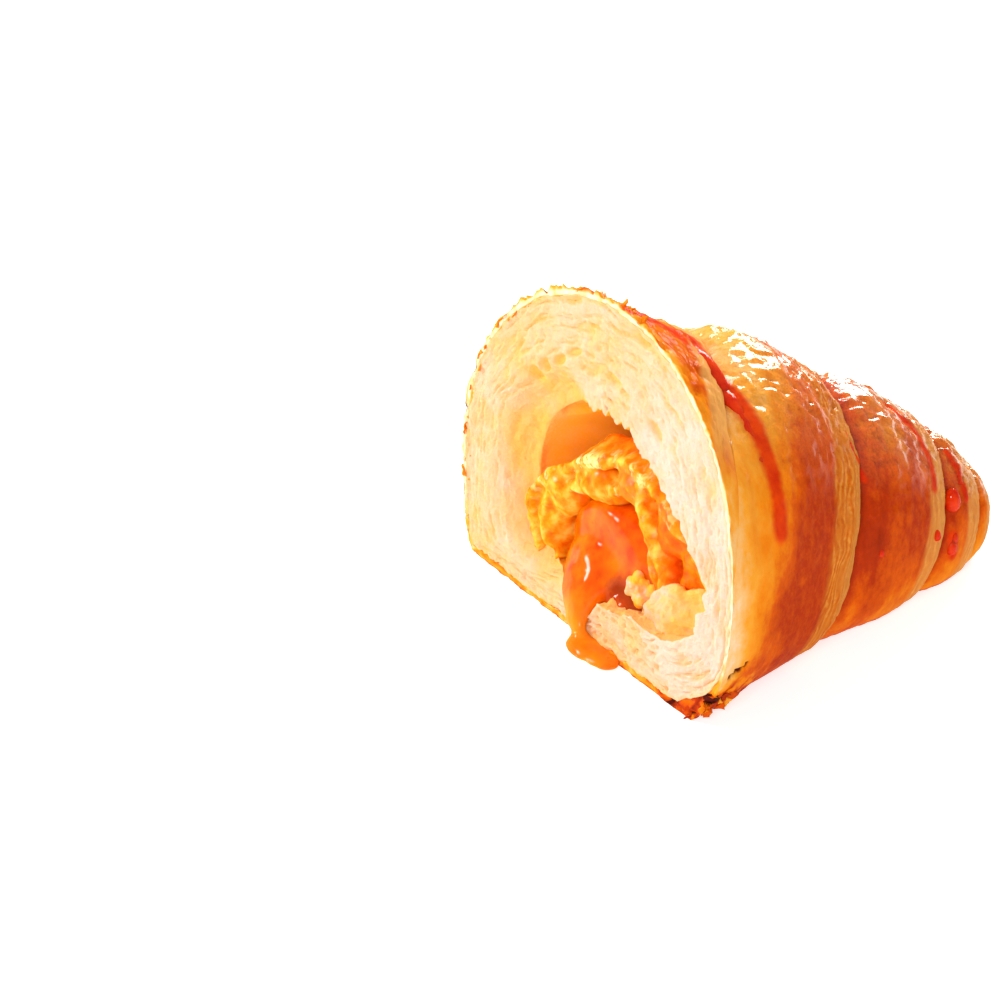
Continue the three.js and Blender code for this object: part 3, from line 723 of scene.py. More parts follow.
# %% [markdown]
# Behind the torn edge the hollow has a smooth stretched wall with bubbles in it, dry and porous
# only on the sill below. The crumb is one closed body: a hidden outside that lies in the shell,
# the cut face, and this wall.

# %% The wall of the hollow and the closed crumb
HOLLOW_ROWS = 44
HIDDEN_X = [58, 50, 42, 34, 26, 18, 12, 7, 3, 1]     # rows of the hidden outside
depths = (HOLLOW_DEPTH * np.linspace(0, 1, HOLLOW_ROWS + 1)[1:-1] ** 1.25)[:, None]
hollow_depth = np.minimum(depths + fillet[-1] * np.exp(-depths / 8), HOLLOW_DEPTH - 0.05)
plain_wall = hollow_point(hollow_depth, crumb_angles[None])
membrane = clouds(plain_wall, (9, 7, 7), 2, seed=137)
bubbles, bubble_value = blobs(plain_wall, 7.5, seed=139)
wall_relief = 0.7 * membrane + 0.5 * smooth(0.7, 0.2, bubbles) * smooth(0.4, 0.9, bubble_value)
wall_relief = wall_relief * smooth(0, 3, depths)
sill = smooth(13.5, 10, plain_wall[..., 2]) * smooth(0, -6, plain_wall[..., 1])
sill = sill * smooth(14, 5, depths)
sill_distance, sill_value = blobs(plain_wall, 1.5, seed=149)
sill_pore = smooth(0.5, 0.15, sill_distance) * smooth(0.2, 0.8, sill_value) * sill
wall_relief = wall_relief + 0.8 * sill_pore - 0.6 * sill * clouds(plain_wall, 2.4, 3, seed=151)
tooth_follow = -tooth[None] * np.exp(-depths / 1.2)
wall = hollow_point(hollow_depth, crumb_angles[None], wall_relief + tooth_follow)

hidden = np.array([crust_point(x, crumb_angles, -0.8 - swell_seen(x, crumb_angles))
                   for x in HIDDEN_X])
hidden[-1] = crust_point(1.0, crumb_angles, TUCK - rim_depth(crumb_angles))
hidden[..., 2] = np.maximum(hidden[..., 2], CRUMB_FLOOR)
hidden_pole, wall_pole = (np.broadcast_to(pole, (1, CRUMB_AROUND, 3))
                          for pole in ([60, AXIS_Y, 9.0], hollow_point(HOLLOW_DEPTH, 0.0)))

# how soaked with filling it is: most over and beside it; by the far edge of the cut it is made
# paler as painted light, where the wall turns away into shade
wall_soak_and_painted_light = smooth(19, -4, wall[..., 1]) * smooth(0, 6, depths)
wall_soak_and_painted_light = 0.46 + 0.36 * wall_soak_and_painted_light + 0.2 * smooth(16, 8, wall[..., 2])
# painted light: paler by the far edge of the cut, where the receding wall lies in shade
wall_soak_and_painted_light = wall_soak_and_painted_light - 0.2 * far_side[None] * np.exp(-depths / 4)
wall_soak_and_painted_light = np.clip(wall_soak_and_painted_light + 0.08 * membrane, 0, 1)
wall_soak_and_painted_light = mix(wall_soak_and_painted_light, 0.24, sill)
near_band = smooth(5, 60, deg) * smooth(150, 120, deg)
soak_face = 0.13 - 0.11 * near_band[None] + 0.05 * patchy
soak_face = soak_face + 0.16 * far_side[None] * smooth(7, 0, from_mouth)


def crumb_rows(before, on_face, on_wall, last):
    """One table of values for all rows of the crumb."""
    return np.concatenate([np.full((len(hidden) + 1, CRUMB_AROUND), before),
                           on_face + 0 * from_rim, on_wall + 0 * wall[..., 0],
                           np.full((1, CRUMB_AROUND), last)])


crumb = skin("crumb", np.concatenate([hidden_pole, hidden, face, wall, wall_pole]), {
    "soak": crumb_rows(0.0, soak_face, wall_soak_and_painted_light, 1.0),
    "pore": crumb_rows(0.0, np.clip(pore, 0, 1), sill_pore, 0.0),
    "toast": crumb_rows(1.0, smooth(1.0, 0.0, from_rim), 0.0, 0.0),
    "wet": crumb_rows(0.0, 0.0, smooth(0, 5, depths) * (1 - sill), 1.0),
})
tell(crumb)

# %% [markdown]
# Inside the hollow the innermost turn of dough has dropped onto the filling and soaked it up. It
# is a sheet bent into an arch, with a second, smaller fold under it that hangs like a curtain
# beside the filling, and a leg between them. Each is drawn as a line across the hollow, carried
# back along the roll, and creased where the wet dough sagged. Their front edges are torn. Lumps
# of swollen dough sit on them, and all of it is melted together and wrinkled.

# %% The soaked inner turn
def through(points, count_along):
    """A smooth line of so many points through (Y, Z) points, evenly spaced by number."""
    points = np.array(points, float)
    position = np.linspace(0, len(points) - 1, count_along)
    i = np.clip(position.astype(int), 0, len(points) - 2)
    t = (position - i)[:, None]
    padded = np.concatenate([2 * points[:1] - points[1:2], points,
                             2 * points[-1:] - points[-2:-1]])
    p0, p1, p2, p3 = padded[i], padded[i + 1], padded[i + 2], padded[i + 3]
    return 0.5 * (2 * p1 + (p2 - p0) * t + (2 * p0 - 5 * p1 + 4 * p2 - p3) * t**2
                  + (3 * p1 - p0 - 3 * p2 + p3) * t**3)


def fold(name, line, front, back, columns, rows, thickness, shrink, crease, tear, frays, seed,
         rise=0.0):
    """A turn of dough: a line across the hollow, carried from `front` back along the roll."""
    path = through(line, columns)
    u = np.linspace(0, 1, columns)
    v = np.linspace(0, 1, rows) ** 1.3
    front_x = np.interp(u, np.linspace(0, 1, len(front)), front)
    front_x = front_x + tear * clouds(xyz(u * 60, 0, 0), 2.2, 3, seed=seed)
    x = mix(front_x[None], back, v[:, None])
    size = mix(1.0, shrink, v)[:, None]
    centre_y, centre_z = AXIS_Y + 3, 6.0
    y = centre_y + (path[:, 0][None] - centre_y) * size
    z = centre_z + (path[:, 1][None] - centre_z) * size
    z = z + rise * np.exp(-(((x - 9.5) / 4.5) ** 2)) * smooth(17, 6, np.abs(y + 1))
    place = xyz(x, y, z)
    tangent = unit(np.gradient(path, axis=0))
    along_x = clouds(place, (12, 6.5, 6.5), 2, seed=seed + 5)
    behind = x - front_x[None]
    lump = crease * along_x + 0.3 * crease * clouds(place, (5, 3, 3), 2, seed=seed + 9)
    curl = 0.7 * np.exp(-behind / 1.6) * clouds(place, 5.0, 2, seed=seed + 13)
    for bend in (lump, curl):
        y, z = y + tangent[:, 1][None] * bend, z - tangent[:, 0][None] * bend
    fray = smooth(2.6, 0.2, behind + 1.4 * along_x)
    return slab(name, xyz(x, y, np.maximum(z, 1.0)), thickness, {
        "fray": fray * np.interp(u, np.linspace(0, 1, len(frays)), frays),
        "fibre": clouds(xyz(x * 0.25, y, z), (1.0, 0.9, 0.9), 2, seed=seed + 21),
        "around": u[None], "behind": behind,
    })


OUTER_FOLD = [(17.5, 5.5), (20.8, 9.0), (21.8, 14.0), (19.6, 18.8), (13.2, 23.2), (4.5, 27.2),
              (-4.5, 29.0), (-12.5, 28.4), (-19.5, 26.0), (-25.2, 21.5), (-28.6, 15.0),
              (-29.0, 10.5)]
INNER_FOLD = [(13.0, 6.0), (16.6, 9.0), (18.0, 13.4), (16.4, 17.2), (11.0, 20.6), (3.0, 23.4),
              (-4.0, 25.6), (-9.4, 23.6), (-11.6, 18.6), (-13.4, 14.4), (-15.0, 10.0)]
LEG_FOLD = [(-8.0, 28.4), (-12.0, 25.4), (-14.6, 20.6), (-17.4, 15.0), (-21.0, 8.0)]
WET_LUMPS = [                    # centre X, Y, Z and half sizes: dough swollen with filling
    (7.0, 17.0, 12.0, 4.6, 3.8, 6.4), (6.8, 13.4, 18.0, 4.6, 4.8, 4.0),
    (7.2, 4.5, 22.8, 4.6, 7.2, 3.6), (8.4, -6.0, 26.0, 5.0, 5.4, 3.8),
    (8.6, -15.5, 22.5, 4.6, 4.4, 5.6), (9.0, -21.0, 17.0, 4.4, 4.6, 6.4),
]


def round_grid(rows, columns):
    """Shares from one end to the other as a column, and angles all the way round as a row."""
    return np.linspace(0, 1, rows)[:, None], (TURN * np.arange(columns) / columns)[None]


def lump_rows(x, y, z, half_x, half_y, half_z):
    """Points of a closed lump with an uneven surface."""
    share, angle = round_grid(28, 40)
    ring = np.sin(math.pi * share)
    points = xyz(-np.cos(math.pi * share), ring * np.cos(angle), ring * np.sin(angle))
    points = points * [half_x, half_y, half_z]
    points = points * (1 + 0.22 * clouds(points + [x, y, z], 4.5, 2, seed=281))[..., None]
    return points + [x, y, z]


def wet_lump(name, *sizes):
    """A lump that takes its colour from where it sits on the arch."""
    points = lump_rows(*sizes)
    return skin(name, points, {"fray": 0.0, "fibre": clouds(points, 1.5, 2, seed=283),
                               "around": (21 - points[..., 1]) / 50, "behind": 3.0})


inner_turn = melted("inner_turn", [
    wet_lump(f"lump_{k}", *row) for k, row in enumerate(WET_LUMPS)
] + [
    fold("outer", OUTER_FOLD, front=[2.2, 2.0, 2.6, 3.4, 3.6, 4.4, 5.4, 6.0], back=33,
         columns=170, rows=60, thickness=1.7, shrink=0.72, crease=0.6, tear=0.8,
         frays=[0.2, 0.3, 0.7, 1.0, 1.0, 0.4, 0.3, 0.6], seed=211, rise=4.5),
    fold("inner", INNER_FOLD, front=[2.6, 2.6, 3.4, 4.0, 4.6, 4.6, 5.4], back=27,
         columns=150, rows=48, thickness=1.6, shrink=0.74, crease=0.6, tear=0.8,
         frays=[0.2, 0.2, 0.4, 0.5, 0.3, 0.2], seed=241),
    fold("leg", LEG_FOLD, front=[3.6, 3.2, 3.6, 4.4], back=22, columns=80, rows=36,
         thickness=2.2, shrink=0.8, crease=0.5, tear=0.6, frays=[0.4, 0.3, 0.2, 0.2], seed=271),
], voxel=0.40, smoothing=7)
roughened(inner_turn, size=3.4, amount=0.7, seed=291)
roughened(inner_turn, size=1.0, amount=0.25, seed=293)
tell(inner_turn)

# %% [markdown]
# Behind the lower lip a flap of crumb tore loose and stands up like a tent, with one pale face
# towards the filling and one along the near wall, coloured tan as painted shade. It is a sheet
# folded along its ridge, thin at the torn top. A smaller scrap stands beside it, and a loose chunk
# of crumb, half soaked, lies between it and the filling.

# %% Torn crumb
FLAP_ACROSS = [(-11.4, 3.0, 7.6, 8.2), (-15.5, 2.3, 8.8, 12.6), (-19.5, 1.6, 10.2, 16.6),
               (-22.5, 2.6, 10.6, 16.2), (-26.5, 4.2, 11.4, 17.2), (-31.2, 5.8, 12.0, 18.6)]
SCRAP_ACROSS = [(-8.5, 4.6, 6.5, 7.6), (-10.5, 5.0, 7.4, 11.2), (-13.0, 5.2, 8.6, 12.4),
                (-15.4, 5.2, 9.4, 10.8)]
CHUNK = [                        # centre and half sizes of the lumps of the loose chunk
    (4.6, -8.4, 10.4, 1.6, 1.9, 2.1), (4.2, -10.6, 9.6, 1.7, 1.8, 1.8),
    (5.0, -9.8, 12.0, 1.5, 1.6, 1.5), (5.2, -12.0, 10.6, 1.5, 1.6, 1.7),
]


def flap(name, stations, columns, rows, thickness, lean, seed):
    """A torn flap: stations across it give Y, X, the height of its foot and of its torn top."""
    y, x, foot, top = at_row(stations, np.linspace(0, len(stations) - 1, columns))
    top = top + 0.5 * clouds(xyz(y, 0, 0), 1.4, 3, seed=seed)
    v = np.linspace(-0.35, 1, rows)[:, None]
    z = foot[None] + (top - foot)[None] * v
    points = xyz(x[None] + lean * v * (top - foot)[None], y[None], z)
    points = points + (0.5 * clouds(points, 3.5, 3, seed=seed + 3))[..., None] * [1, 0.4, 0.4]
    # painted shade: the face along the near wall gets more soak, pores and toast, so it reads tan
    # as if in shade
    shade = smooth(-19.0, -22.0, y)[None]            # the face along the near wall
    soak = mix(0.13 + 0.1 * smooth(-14, -11, y)[None], 0.24, shade)
    soak = soak + 0.16 * clouds(points, (1.6, 1.6, 0.8), 3, seed=seed + 5)
    pore = 0.1 * shade + 0.7 * smooth(0.12, 0.5, clouds(points, (1.5, 1.5, 0.7), 3, seed=seed + 7))
    return slab(name, points, thickness, {"soak": soak, "pore": pore, "toast": 0.9 * shade,
                                          "wet": 0.0})


def lump_of_chunk(name, *sizes):
    points = lump_rows(*sizes)
    return skin(name, points, {"soak": 0.42 + 0.6 * clouds(points, 1.4, 2, seed=321), "pore": 0.0,
                               "toast": 0.0, "wet": 0.4})


torn = [
    flap("flap", FLAP_ACROSS, columns=60, rows=26, thickness=1.0, lean=0.2, seed=301),
    flap("scrap", SCRAP_ACROSS, columns=34, rows=18, thickness=0.9, lean=0.5, seed=311),
]
chunk = melted("chunk", [lump_of_chunk(f"chunk_{k}", *row) for k, row in enumerate(CHUNK)],
               voxel=0.25, smoothing=2)
torn.append(roughened(chunk, size=1.2, amount=1.0, seed=325))
torn_crumb = roughened(joined("torn_crumb", torn), size=1.6, amount=0.9, seed=331)
tell(torn_crumb)

# %% [markdown]
# The filling is a stiff fruit gel. A core lies along the hollow, a tongue of it has run over the
# lower lip, a puddle has spread where it met the table, and a shallow pool stands beside the core.
# The four are made apart, melted together by remeshing, and smoothed, which is how such a gel
# rounds itself off.

# %% The filling
CORE_FRONT, CORE_BACK, CORE_HALF_WIDTH, CORE_HALF_HEIGHT = 3.6, 40.0, 17.0, 10.2
TONGUE = np.array([             # X, Y, Z, half width, half thickness
    [12.0, 2.0, 14.0, 10.5, 6.5], [6.6, 2.0, 12.0, 9.6, 5.0], [2.8, 2.4, 8.8, 7.2, 3.2],
    [0.4, 2.0, 5.8, 5.0, 2.1], [-1.2, 0.8, 3.2, 3.5, 1.5], [-2.2, -1.6, 1.5, 3.0, 1.1],
    [-2.8, -3.8, 0.9, 2.6, 0.8],
])
PUDDLE = dict(x=-2.4, y=-7.0, half_x=4.0, half_y=6.4, height=1.7)
PUDDLE_PROFILE = [(0, 0), (0.94, 0), (1, 0.3), (0.9, 0.65), (0.62, 0.9), (0.3, 0.98), (0, 1)]
POOL = (7.0, -5.6, 7.0, 5.6, 7.6, 3.4)     # its centre and half sizes


def core_place(share, angle):
    t = 0.5 - 0.5 * np.cos(math.pi * share)
    round_end = np.sin(math.pi * share) ** mix(0.32, 0.6, share)
    thin = mix(1, 0.42, t)
    x = mix(CORE_FRONT, CORE_BACK, t)
    wave = 1 + 0.06 * np.sin(3 * angle + x * 0.3)
    return xyz(x, mix(-0.2, -3.5, t) + CORE_HALF_WIDTH * thin * wave * round_end * np.sin(angle),
               mix(13.2, 9.5, t) + CORE_HALF_HEIGHT * thin * wave * round_end * np.cos(angle))


def tongue_place(share, angle):
    half_width, half_thickness = at_row(TONGUE[:, 3:], share * (len(TONGUE) - 1))
    line = through(TONGUE[:, :3], len(share))
    ahead = np.gradient(line, axis=0)
    out = unit(xyz(-ahead[:, 2], 0.0, ahead[:, 0]))
    round_end = np.sin(math.pi * share) ** 0.35
    wide = half_width * round_end * np.cos(angle)
    thick = half_thickness * round_end * np.sin(angle)
    return xyz(line[:, :1] + out[:, :1] * thick, line[:, 1:2] + wide,
               np.maximum(line[:, 2:] + out[:, 2:] * thick, 0.02))


def puddle_place(share, angle):
    spread, level = at_row(PUDDLE_PROFILE, share * (len(PUDDLE_PROFILE) - 1))
    wave = 1 + 0.05 * np.sin(3 * angle + 1)
    return xyz(PUDDLE["x"] + PUDDLE["half_x"] * wave * spread * np.cos(angle),
               PUDDLE["y"] + PUDDLE["half_y"] * wave * spread * np.sin(angle),
               level * PUDDLE["height"])


def gel(name, points, thin):
    """A closed piece of gel: how thin it is, and how deep in shade behind the lower lip, where its
    colour is darkened as painted shade.
    """
    x, y, z = np.moveaxis(points, -1, 0)
    deep = smooth(12.5, 8.5, z) * smooth(5.5, 0, y) * smooth(0.8, 3, x)
    return skin(name, points, {"thin": thin, "deep": deep})


tongue_share, tongue_angle = round_grid(46, 32)
filling = melted("filling", [
    gel("core", core_place(*round_grid(40, 60)), 0.0),
    gel("tongue", tongue_place(tongue_share, tongue_angle), smooth(0.42, 0.75, tongue_share)),
    gel("puddle", puddle_place(*round_grid(25, 56)), 0.5),
    gel("pool", lump_rows(*POOL), 0.0),
], voxel=0.42, smoothing=10)
roughened(filling, size=8.0, amount=0.9, seed=331)
tell(filling)

# %% [markdown]
# Sugar glaze ran down the crust in strings and set hard. Each string is a low ridge along places
# on the crust, broad where it starts and fine where it ran down. Beads of it hang by the tip. The
# thin films beside the strings are already part of the crust.

# %% Glaze
GLAZE_LINES = [                 # (distance from the cut, degrees) along each string
    [[0.8, 4], [4.0, 3], [7.2, 2.5], [8.9, 6], [8.5, 12]],
    [[11.3, 8.5], [10.1, 17.5], [10.4, 25], [10.9, 33], [10.7, 43], [10.4, 54], [10.3, 66]],
    [[33.4, 37.5], [34.4, 42], [36.2, 48], [36.5, 57]],
    [[50.3, 14], [51.9, 23.5], [52.3, 34], [52.0, 46], [51.8, 61]],
    [[61.4, 28], [61.8, 40], [61.8, 53], [62.7, 64]],
]
GLAZE_WIDTHS = [1.0, 1.5, 0.7, 0.8, 0.8]
GLAZE_DROPS = [[59.0, 61, 1.5], [53.2, 80, 0.7], [58.6, 92, 1.0], [59.0, 85, 0.7], [38.3, 83, 0.5]]


def string_of_glaze(name, places, half_width):
    """A ridge of glaze along places on the crust."""
    fine = through(places, 70)
    centre = crust_at(fine[:, 0], fine[:, 1], -0.15)
    up = unit(crust_at(fine[:, 0], fine[:, 1], 0.85) - centre)
    side = unit(np.cross(unit(np.gradient(centre, axis=0)), up))
    t = np.linspace(0, 1, len(fine))
    thick = np.sqrt(np.clip(smooth(-0.02, 0.3, t), 0, 1)) * np.sqrt(np.clip((1 - t) / 0.05, 0, 1))
    thick = thick * (1 + 0.12 * noise(centre, 3.0, seed=5))
    width = half_width * thick * mix(1.1, 0.35, smooth(0.3, 0.75, t))
    angle = TURN * np.arange(18) / 18
    ring = (side[:, None] * (width[:, None] * np.cos(angle)[None])[..., None]
            + up[:, None] * (0.55 * width[:, None] * np.sin(angle)[None])[..., None])
    points = centre[:, None] + ring
    points[..., 2] = np.maximum(points[..., 2], 0.02)
    return skin(name, points)


def drop_of_glaze(name, x, degrees, radius):
    """A bead of glaze, a little longer downwards than across."""
    share, angle = round_grid(14, 22)
    r = radius * np.sin(math.pi * share)
    z = -radius * 1.35 * np.cos(math.pi * share) * (1 - 0.25 * np.cos(math.pi * share))
    return skin(name, crust_at(x, degrees, -0.15 * radius)
                + xyz(r * np.cos(angle), r * np.sin(angle), z))


strings = [string_of_glaze(f"string_{k}", places, width)
           for k, (places, width) in enumerate(zip(GLAZE_LINES, GLAZE_WIDTHS))]
beads = [drop_of_glaze(f"bead_{k}", *row) for k, row in enumerate(GLAZE_DROPS)]
glaze = joined("glaze", strings + beads)
tell(glaze)

# %% [markdown]
# The knife broke the brittle crust along the top of the cut and at the foot. Thin bent flakes
# stand there, and specks of crumb lie on the lower lip. Each flake is a small sheet with its own
# size, bend and turn, drawn from one seeded list.

# %% Flakes and crumbs
FLAKE_THICKNESS = 0.22
HOLE_CLEARANCE = 2.4             # no flake lies this close to the middle of a large hole
SPECKS = 28
chance = np.random.default_rng(20)


def flake(name, centre, size, brown, facing):
    """A thin bent flake of crust about `size` long."""
    u, v = np.meshgrid(np.linspace(-1, 1, 7), np.linspace(-1, 1, 5), indexing="xy")
    length, width = size * chance.uniform(0.5, 0.8), size * chance.uniform(0.25, 0.5)
    jag = 1 + 0.14 * chance.uniform(-1, 1, u.shape)
    bend = chance.uniform(-0.35, 0.35) * size
    local = xyz(u * length * jag, v * width * jag, bend * u * u + 0.06 * size * jag)
    spin = Matrix.Rotation(chance.uniform(0, TURN), 3, "Z")
    tilt = Vector((0, 0, 1)).rotation_difference(Vector(facing)).to_matrix()
    points = local @ np.array(tilt @ spin).T + centre
    points[..., 2] = np.maximum(points[..., 2], 0.1)
    return slab(name, points, FLAKE_THICKNESS, {"bake": brown})


def flakes_on_cut(name, count, degrees, x_to, out, lean, size_to, browns, clear_of=()):
    """Flakes strewn along the edge of the cut, between two angles, clear of the open holes."""
    made = []
    for k in range(count):
        angle = math.radians(chance.uniform(*degrees))
        spot = crust_point(chance.uniform(0.0, x_to), angle, chance.uniform(*out))
        if any(np.linalg.norm(spot - crust_at(x, at_deg)) < HOLE_CLEARANCE
               for x, at_deg, *_ in clear_of):
            continue
        facing = np.array([lean[0], -math.sin(angle), math.cos(angle)])
        facing = facing + chance.uniform(-lean[1], lean[1], 3)
        made.append(flake(f"{name}_{k}", spot, chance.uniform(0.7, size_to), chance.choice(browns),
                          facing))
    return made


flakes = joined("flakes", [
    *flakes_on_cut("flake", 90, degrees=(-118, 14), x_to=2.2, out=(-0.3, 0.55), lean=(-0.5, 0.45),
                   size_to=1.7, browns=[0.1, 0.2, 0.3, 0.4, 0.5]),
    *flakes_on_cut("corner", 40, degrees=(114, 136), x_to=6, out=(-0.2, 0.25), lean=(-0.3, 0.3),
                   size_to=1.8, browns=[0.35, 0.5, 0.65, 0.8], clear_of=BURNT_HOLES[:3]),
])
tell(flakes)

specks = []
for k in range(SPECKS):
    angle = math.radians(chance.uniform(112, 176))
    radius = mouth_radius(angle) + chance.uniform(-0.5, 2.5)
    y, z = AXIS_Y - radius * math.sin(angle), MOUTH_CENTRE[1] + radius * math.cos(angle)
    size = chance.uniform(0.12, 0.28)
    share, round_angle = round_grid(6, 8)
    r = size * np.sin(math.pi * share)
    ball = xyz(r * np.cos(round_angle), r * np.sin(round_angle),
               -size * np.cos(math.pi * share))
    ball = ball * (1 + 0.3 * chance.uniform(-1, 1, ball.shape[:2] + (1,)))
    ball[0], ball[-1] = ball[0].mean(0), ball[-1].mean(0)
    centre = [chance.uniform(-0.1, 1.6), y, max(z, 0.8)]
    specks.append(skin(f"speck_{k}", ball + centre, {"soak": 0.3}))
crumbs = joined("crumbs", specks)
tell(crumbs)

# %% [markdown]
# The materials read the values kept on the points, and break them up with noise of their own.
# Browning is one ramp of colours from pale dough to burnt, so a place only needs to know how baked
# it is. Wet dough and gel let light through, so they scatter it under the surface. Egg wash gives
# the crust a thin clear coat.

# %% Tools for materials
def srgb(r, g, b):
    """A colour as seen in a picture, made linear."""
    return tuple((c / 255 / 12.92 if c <= 10.31 else ((c / 255 + 0.055) / 1.055) ** 2.4)
                 for c in (r, g, b)) + (1.0,)


class Recipe:
    """A material's nodes, added one line at a time."""

    def __init__(self, name):
        self.material = bpy.data.materials.new(name)
        self.material.use_nodes = True
        self.tree = self.material.node_tree
        self.shader = self.tree.nodes["Principled BSDF"]
        self.place = self.add("ShaderNodeTexCoord").outputs["Object"]

    def add(self, kind, **settings):
        node = self.tree.nodes.new(kind)
        for key, value in settings.items():
            setattr(node, key, value)
        return node

    def link(self, value, socket):
        if isinstance(value, bpy.types.NodeSocket):
            self.tree.links.new(value, socket)
        else:
            socket.default_value = value

    def value(self, name):
        return self.add("ShaderNodeAttribute", attribute_name=name).outputs["Fac"]

    def math(self, operation, a, b=0.0, clamp=False):
        node = self.add("ShaderNodeMath", operation=operation, use_clamp=clamp)
        for socket, item in zip(node.inputs, (a, b)):
            self.link(item, socket)
        return node.outputs[0]

    def times(self, a, b):
        return self.math("MULTIPLY", a, b)

    def plus(self, a, b, clamp=False):
        return self.math("ADD", a, b, clamp)

    def uneven(self, value, noise, amount, clamp=False):
        """A value made uneven by noise, up and down by half of this amount."""
        return self.plus(value, self.times(self.math("SUBTRACT", noise, 0.5), amount), clamp)

    def blend(self, amount, a, b, mode="MIX"):
        node = self.add("ShaderNodeMix", data_type="RGBA", blend_type=mode)
        self.link(amount, node.inputs[0])
        self.link(a, node.inputs[6])
        self.link(b, node.inputs[7])
        return node.outputs[2]

    def range(self, value, low, high, to_low=0.0, to_high=1.0):
        node = self.add("ShaderNodeMapRange", interpolation_type="SMOOTHSTEP")
        for socket, item in zip(node.inputs, (value, low, high, to_low, to_high)):
            self.link(item, socket)
        return node.outputs[0]

    def ramp(self, value, stops):
        node = self.add("ShaderNodeValToRGB")
        ramp = node.color_ramp
        while len(ramp.elements) < len(stops):
            ramp.elements.new(0.5)
        for element, (position, colour) in zip(ramp.elements, stops):
            element.position = position
            element.color = colour
        self.link(value, node.inputs[0])
        return node.outputs[0]

    def pattern(self, kind, size_mm, stretch):
        """A texture node whose pattern has this size, stretched along the axes."""
        mapping = self.add("ShaderNodeMapping")
        mapping.inputs["Scale"].default_value = stretch
        self.link(self.place, mapping.inputs["Vector"])
        node = self.add(kind)
        self.link(mapping.outputs[0], node.inputs["Vector"])
        node.inputs["Scale"].default_value = 1 / (size_mm * MM)
        return node

    def noise(self, size_mm, detail=3.0, stretch=(1, 1, 1)):
        node = self.pattern("ShaderNodeTexNoise", size_mm, stretch)
        node.inputs["Detail"].default_value = detail
        return node.outputs[0]

    def cells(self, size_mm, stretch=(1, 1, 1)):
        return self.pattern("ShaderNodeTexVoronoi", size_mm, stretch).outputs["Distance"]

    def bump(self, height, depth_mm, strength=1.0):
        node = self.add("ShaderNodeBump")
        node.inputs["Strength"].default_value = strength
        node.inputs["Distance"].default_value = depth_mm * MM
        self.link(height, node.inputs["Height"])
        return node.outputs[0]

    def finish(self, *pieces, **sockets):
        """Sets the shader's sockets and gives the material to these pieces."""
        for key, item in sockets.items():
            self.link(item, self.shader.inputs[key.replace("_", " ")])
        for piece in pieces:
            piece.data.materials.clear()
            piece.data.materials.append(self.material)


BROWNING = [
    (0.0, srgb(240, 214, 186)), (0.14, srgb(242, 190, 120)), (0.30, srgb(242, 158, 46)),
    (0.46, srgb(236, 130, 16)), (0.60, srgb(216, 88, 10)), (0.74, srgb(178, 52, 12)),
    (0.88, srgb(142, 38, 12)), (1.0, srgb(84, 24, 12)),
]
print("browning ramp:", len(BROWNING), "colours")

# %% [markdown]
# Crust: the ramp, broken up by fine noise that runs round with the dough, with pale layered steps
# whose lines follow the baked layers, red films of glaze, burnt holes coloured near black as char
# and as painted shade inside them, and a clear coat of egg wash where the tops shine. All shine
# comes from the coat, so no pale sheen lies at the edges.

# %% Material of the crust
m = Recipe("baked_crust")
speckle = m.noise(0.45, 3.0)
baked = m.uneven(m.value("bake"), m.noise(1.2, 5.0, (1.2, 0.75, 0.75)), 0.18)
colour = m.ramp(m.uneven(baked, speckle, 0.10, clamp=True), BROWNING)
line = m.math("SINE", m.times(m.value("layer"), 6.2832))
line = m.uneven(line, m.noise(0.7, 4.0), 4.2)
layer_colour = m.ramp(m.range(line, -1.6, 1.6), [
    (0.0, srgb(196, 92, 16)), (0.35, srgb(208, 112, 24)), (0.7, srgb(216, 126, 36)),
    (1.0, srgb(230, 154, 64))])
layer_colour = m.blend(m.range(m.noise(2.4, 2.0), 0.38, 0.66, 0.0, 0.8), layer_colour,
                       srgb(212, 120, 32))
layer_colour = m.blend(m.range(m.value("layer"), 3.2, 0.2, 0.0, 0.45), layer_colour,
                       srgb(232, 170, 88))
layer_colour = m.blend(m.value("pale"), layer_colour, srgb(238, 184, 104))
film_colour = m.ramp(m.noise(2.2, 3.0), [(0.3, srgb(200, 30, 8)), (0.7, srgb(228, 62, 8))])
colour = m.blend(m.times(m.value("strip"), 0.85), colour, layer_colour)
colour = m.blend(m.times(m.value("film"), 0.95), colour, film_colour)
# the open holes: char, and painted shade inside them
colour = m.blend(m.range(m.value("hole"), 0.35, 0.9), colour, srgb(84, 24, 16))
height = m.plus(m.times(m.noise(0.9, 5.0, (1.2, 0.8, 0.8)), 0.7),
                m.times(m.cells(1.3, stretch=(0.7, 1, 1)), 0.5))
height = m.times(height, m.plus(m.times(m.value("shine"), 1.9), 0.4))
m.finish(crust, flakes, Base_Color=colour, Specular_IOR_Level=0.0,
         Roughness=m.math("SUBTRACT", m.range(speckle, 0.3, 0.7, 0.32, 0.5),
                          m.times(m.value("film"), 0.04)),
         Coat_Weight=m.plus(m.times(m.value("shine"), 0.55), 0.05, clamp=True),
         Coat_Roughness=0.1, Subsurface_Weight=0.12, Subsurface_Scale=0.0012,
         Subsurface_Radius=(1.0, 0.45, 0.2), Normal=m.bump(height, 0.34, 0.9))
print("crust material:", len(m.tree.nodes), "nodes")
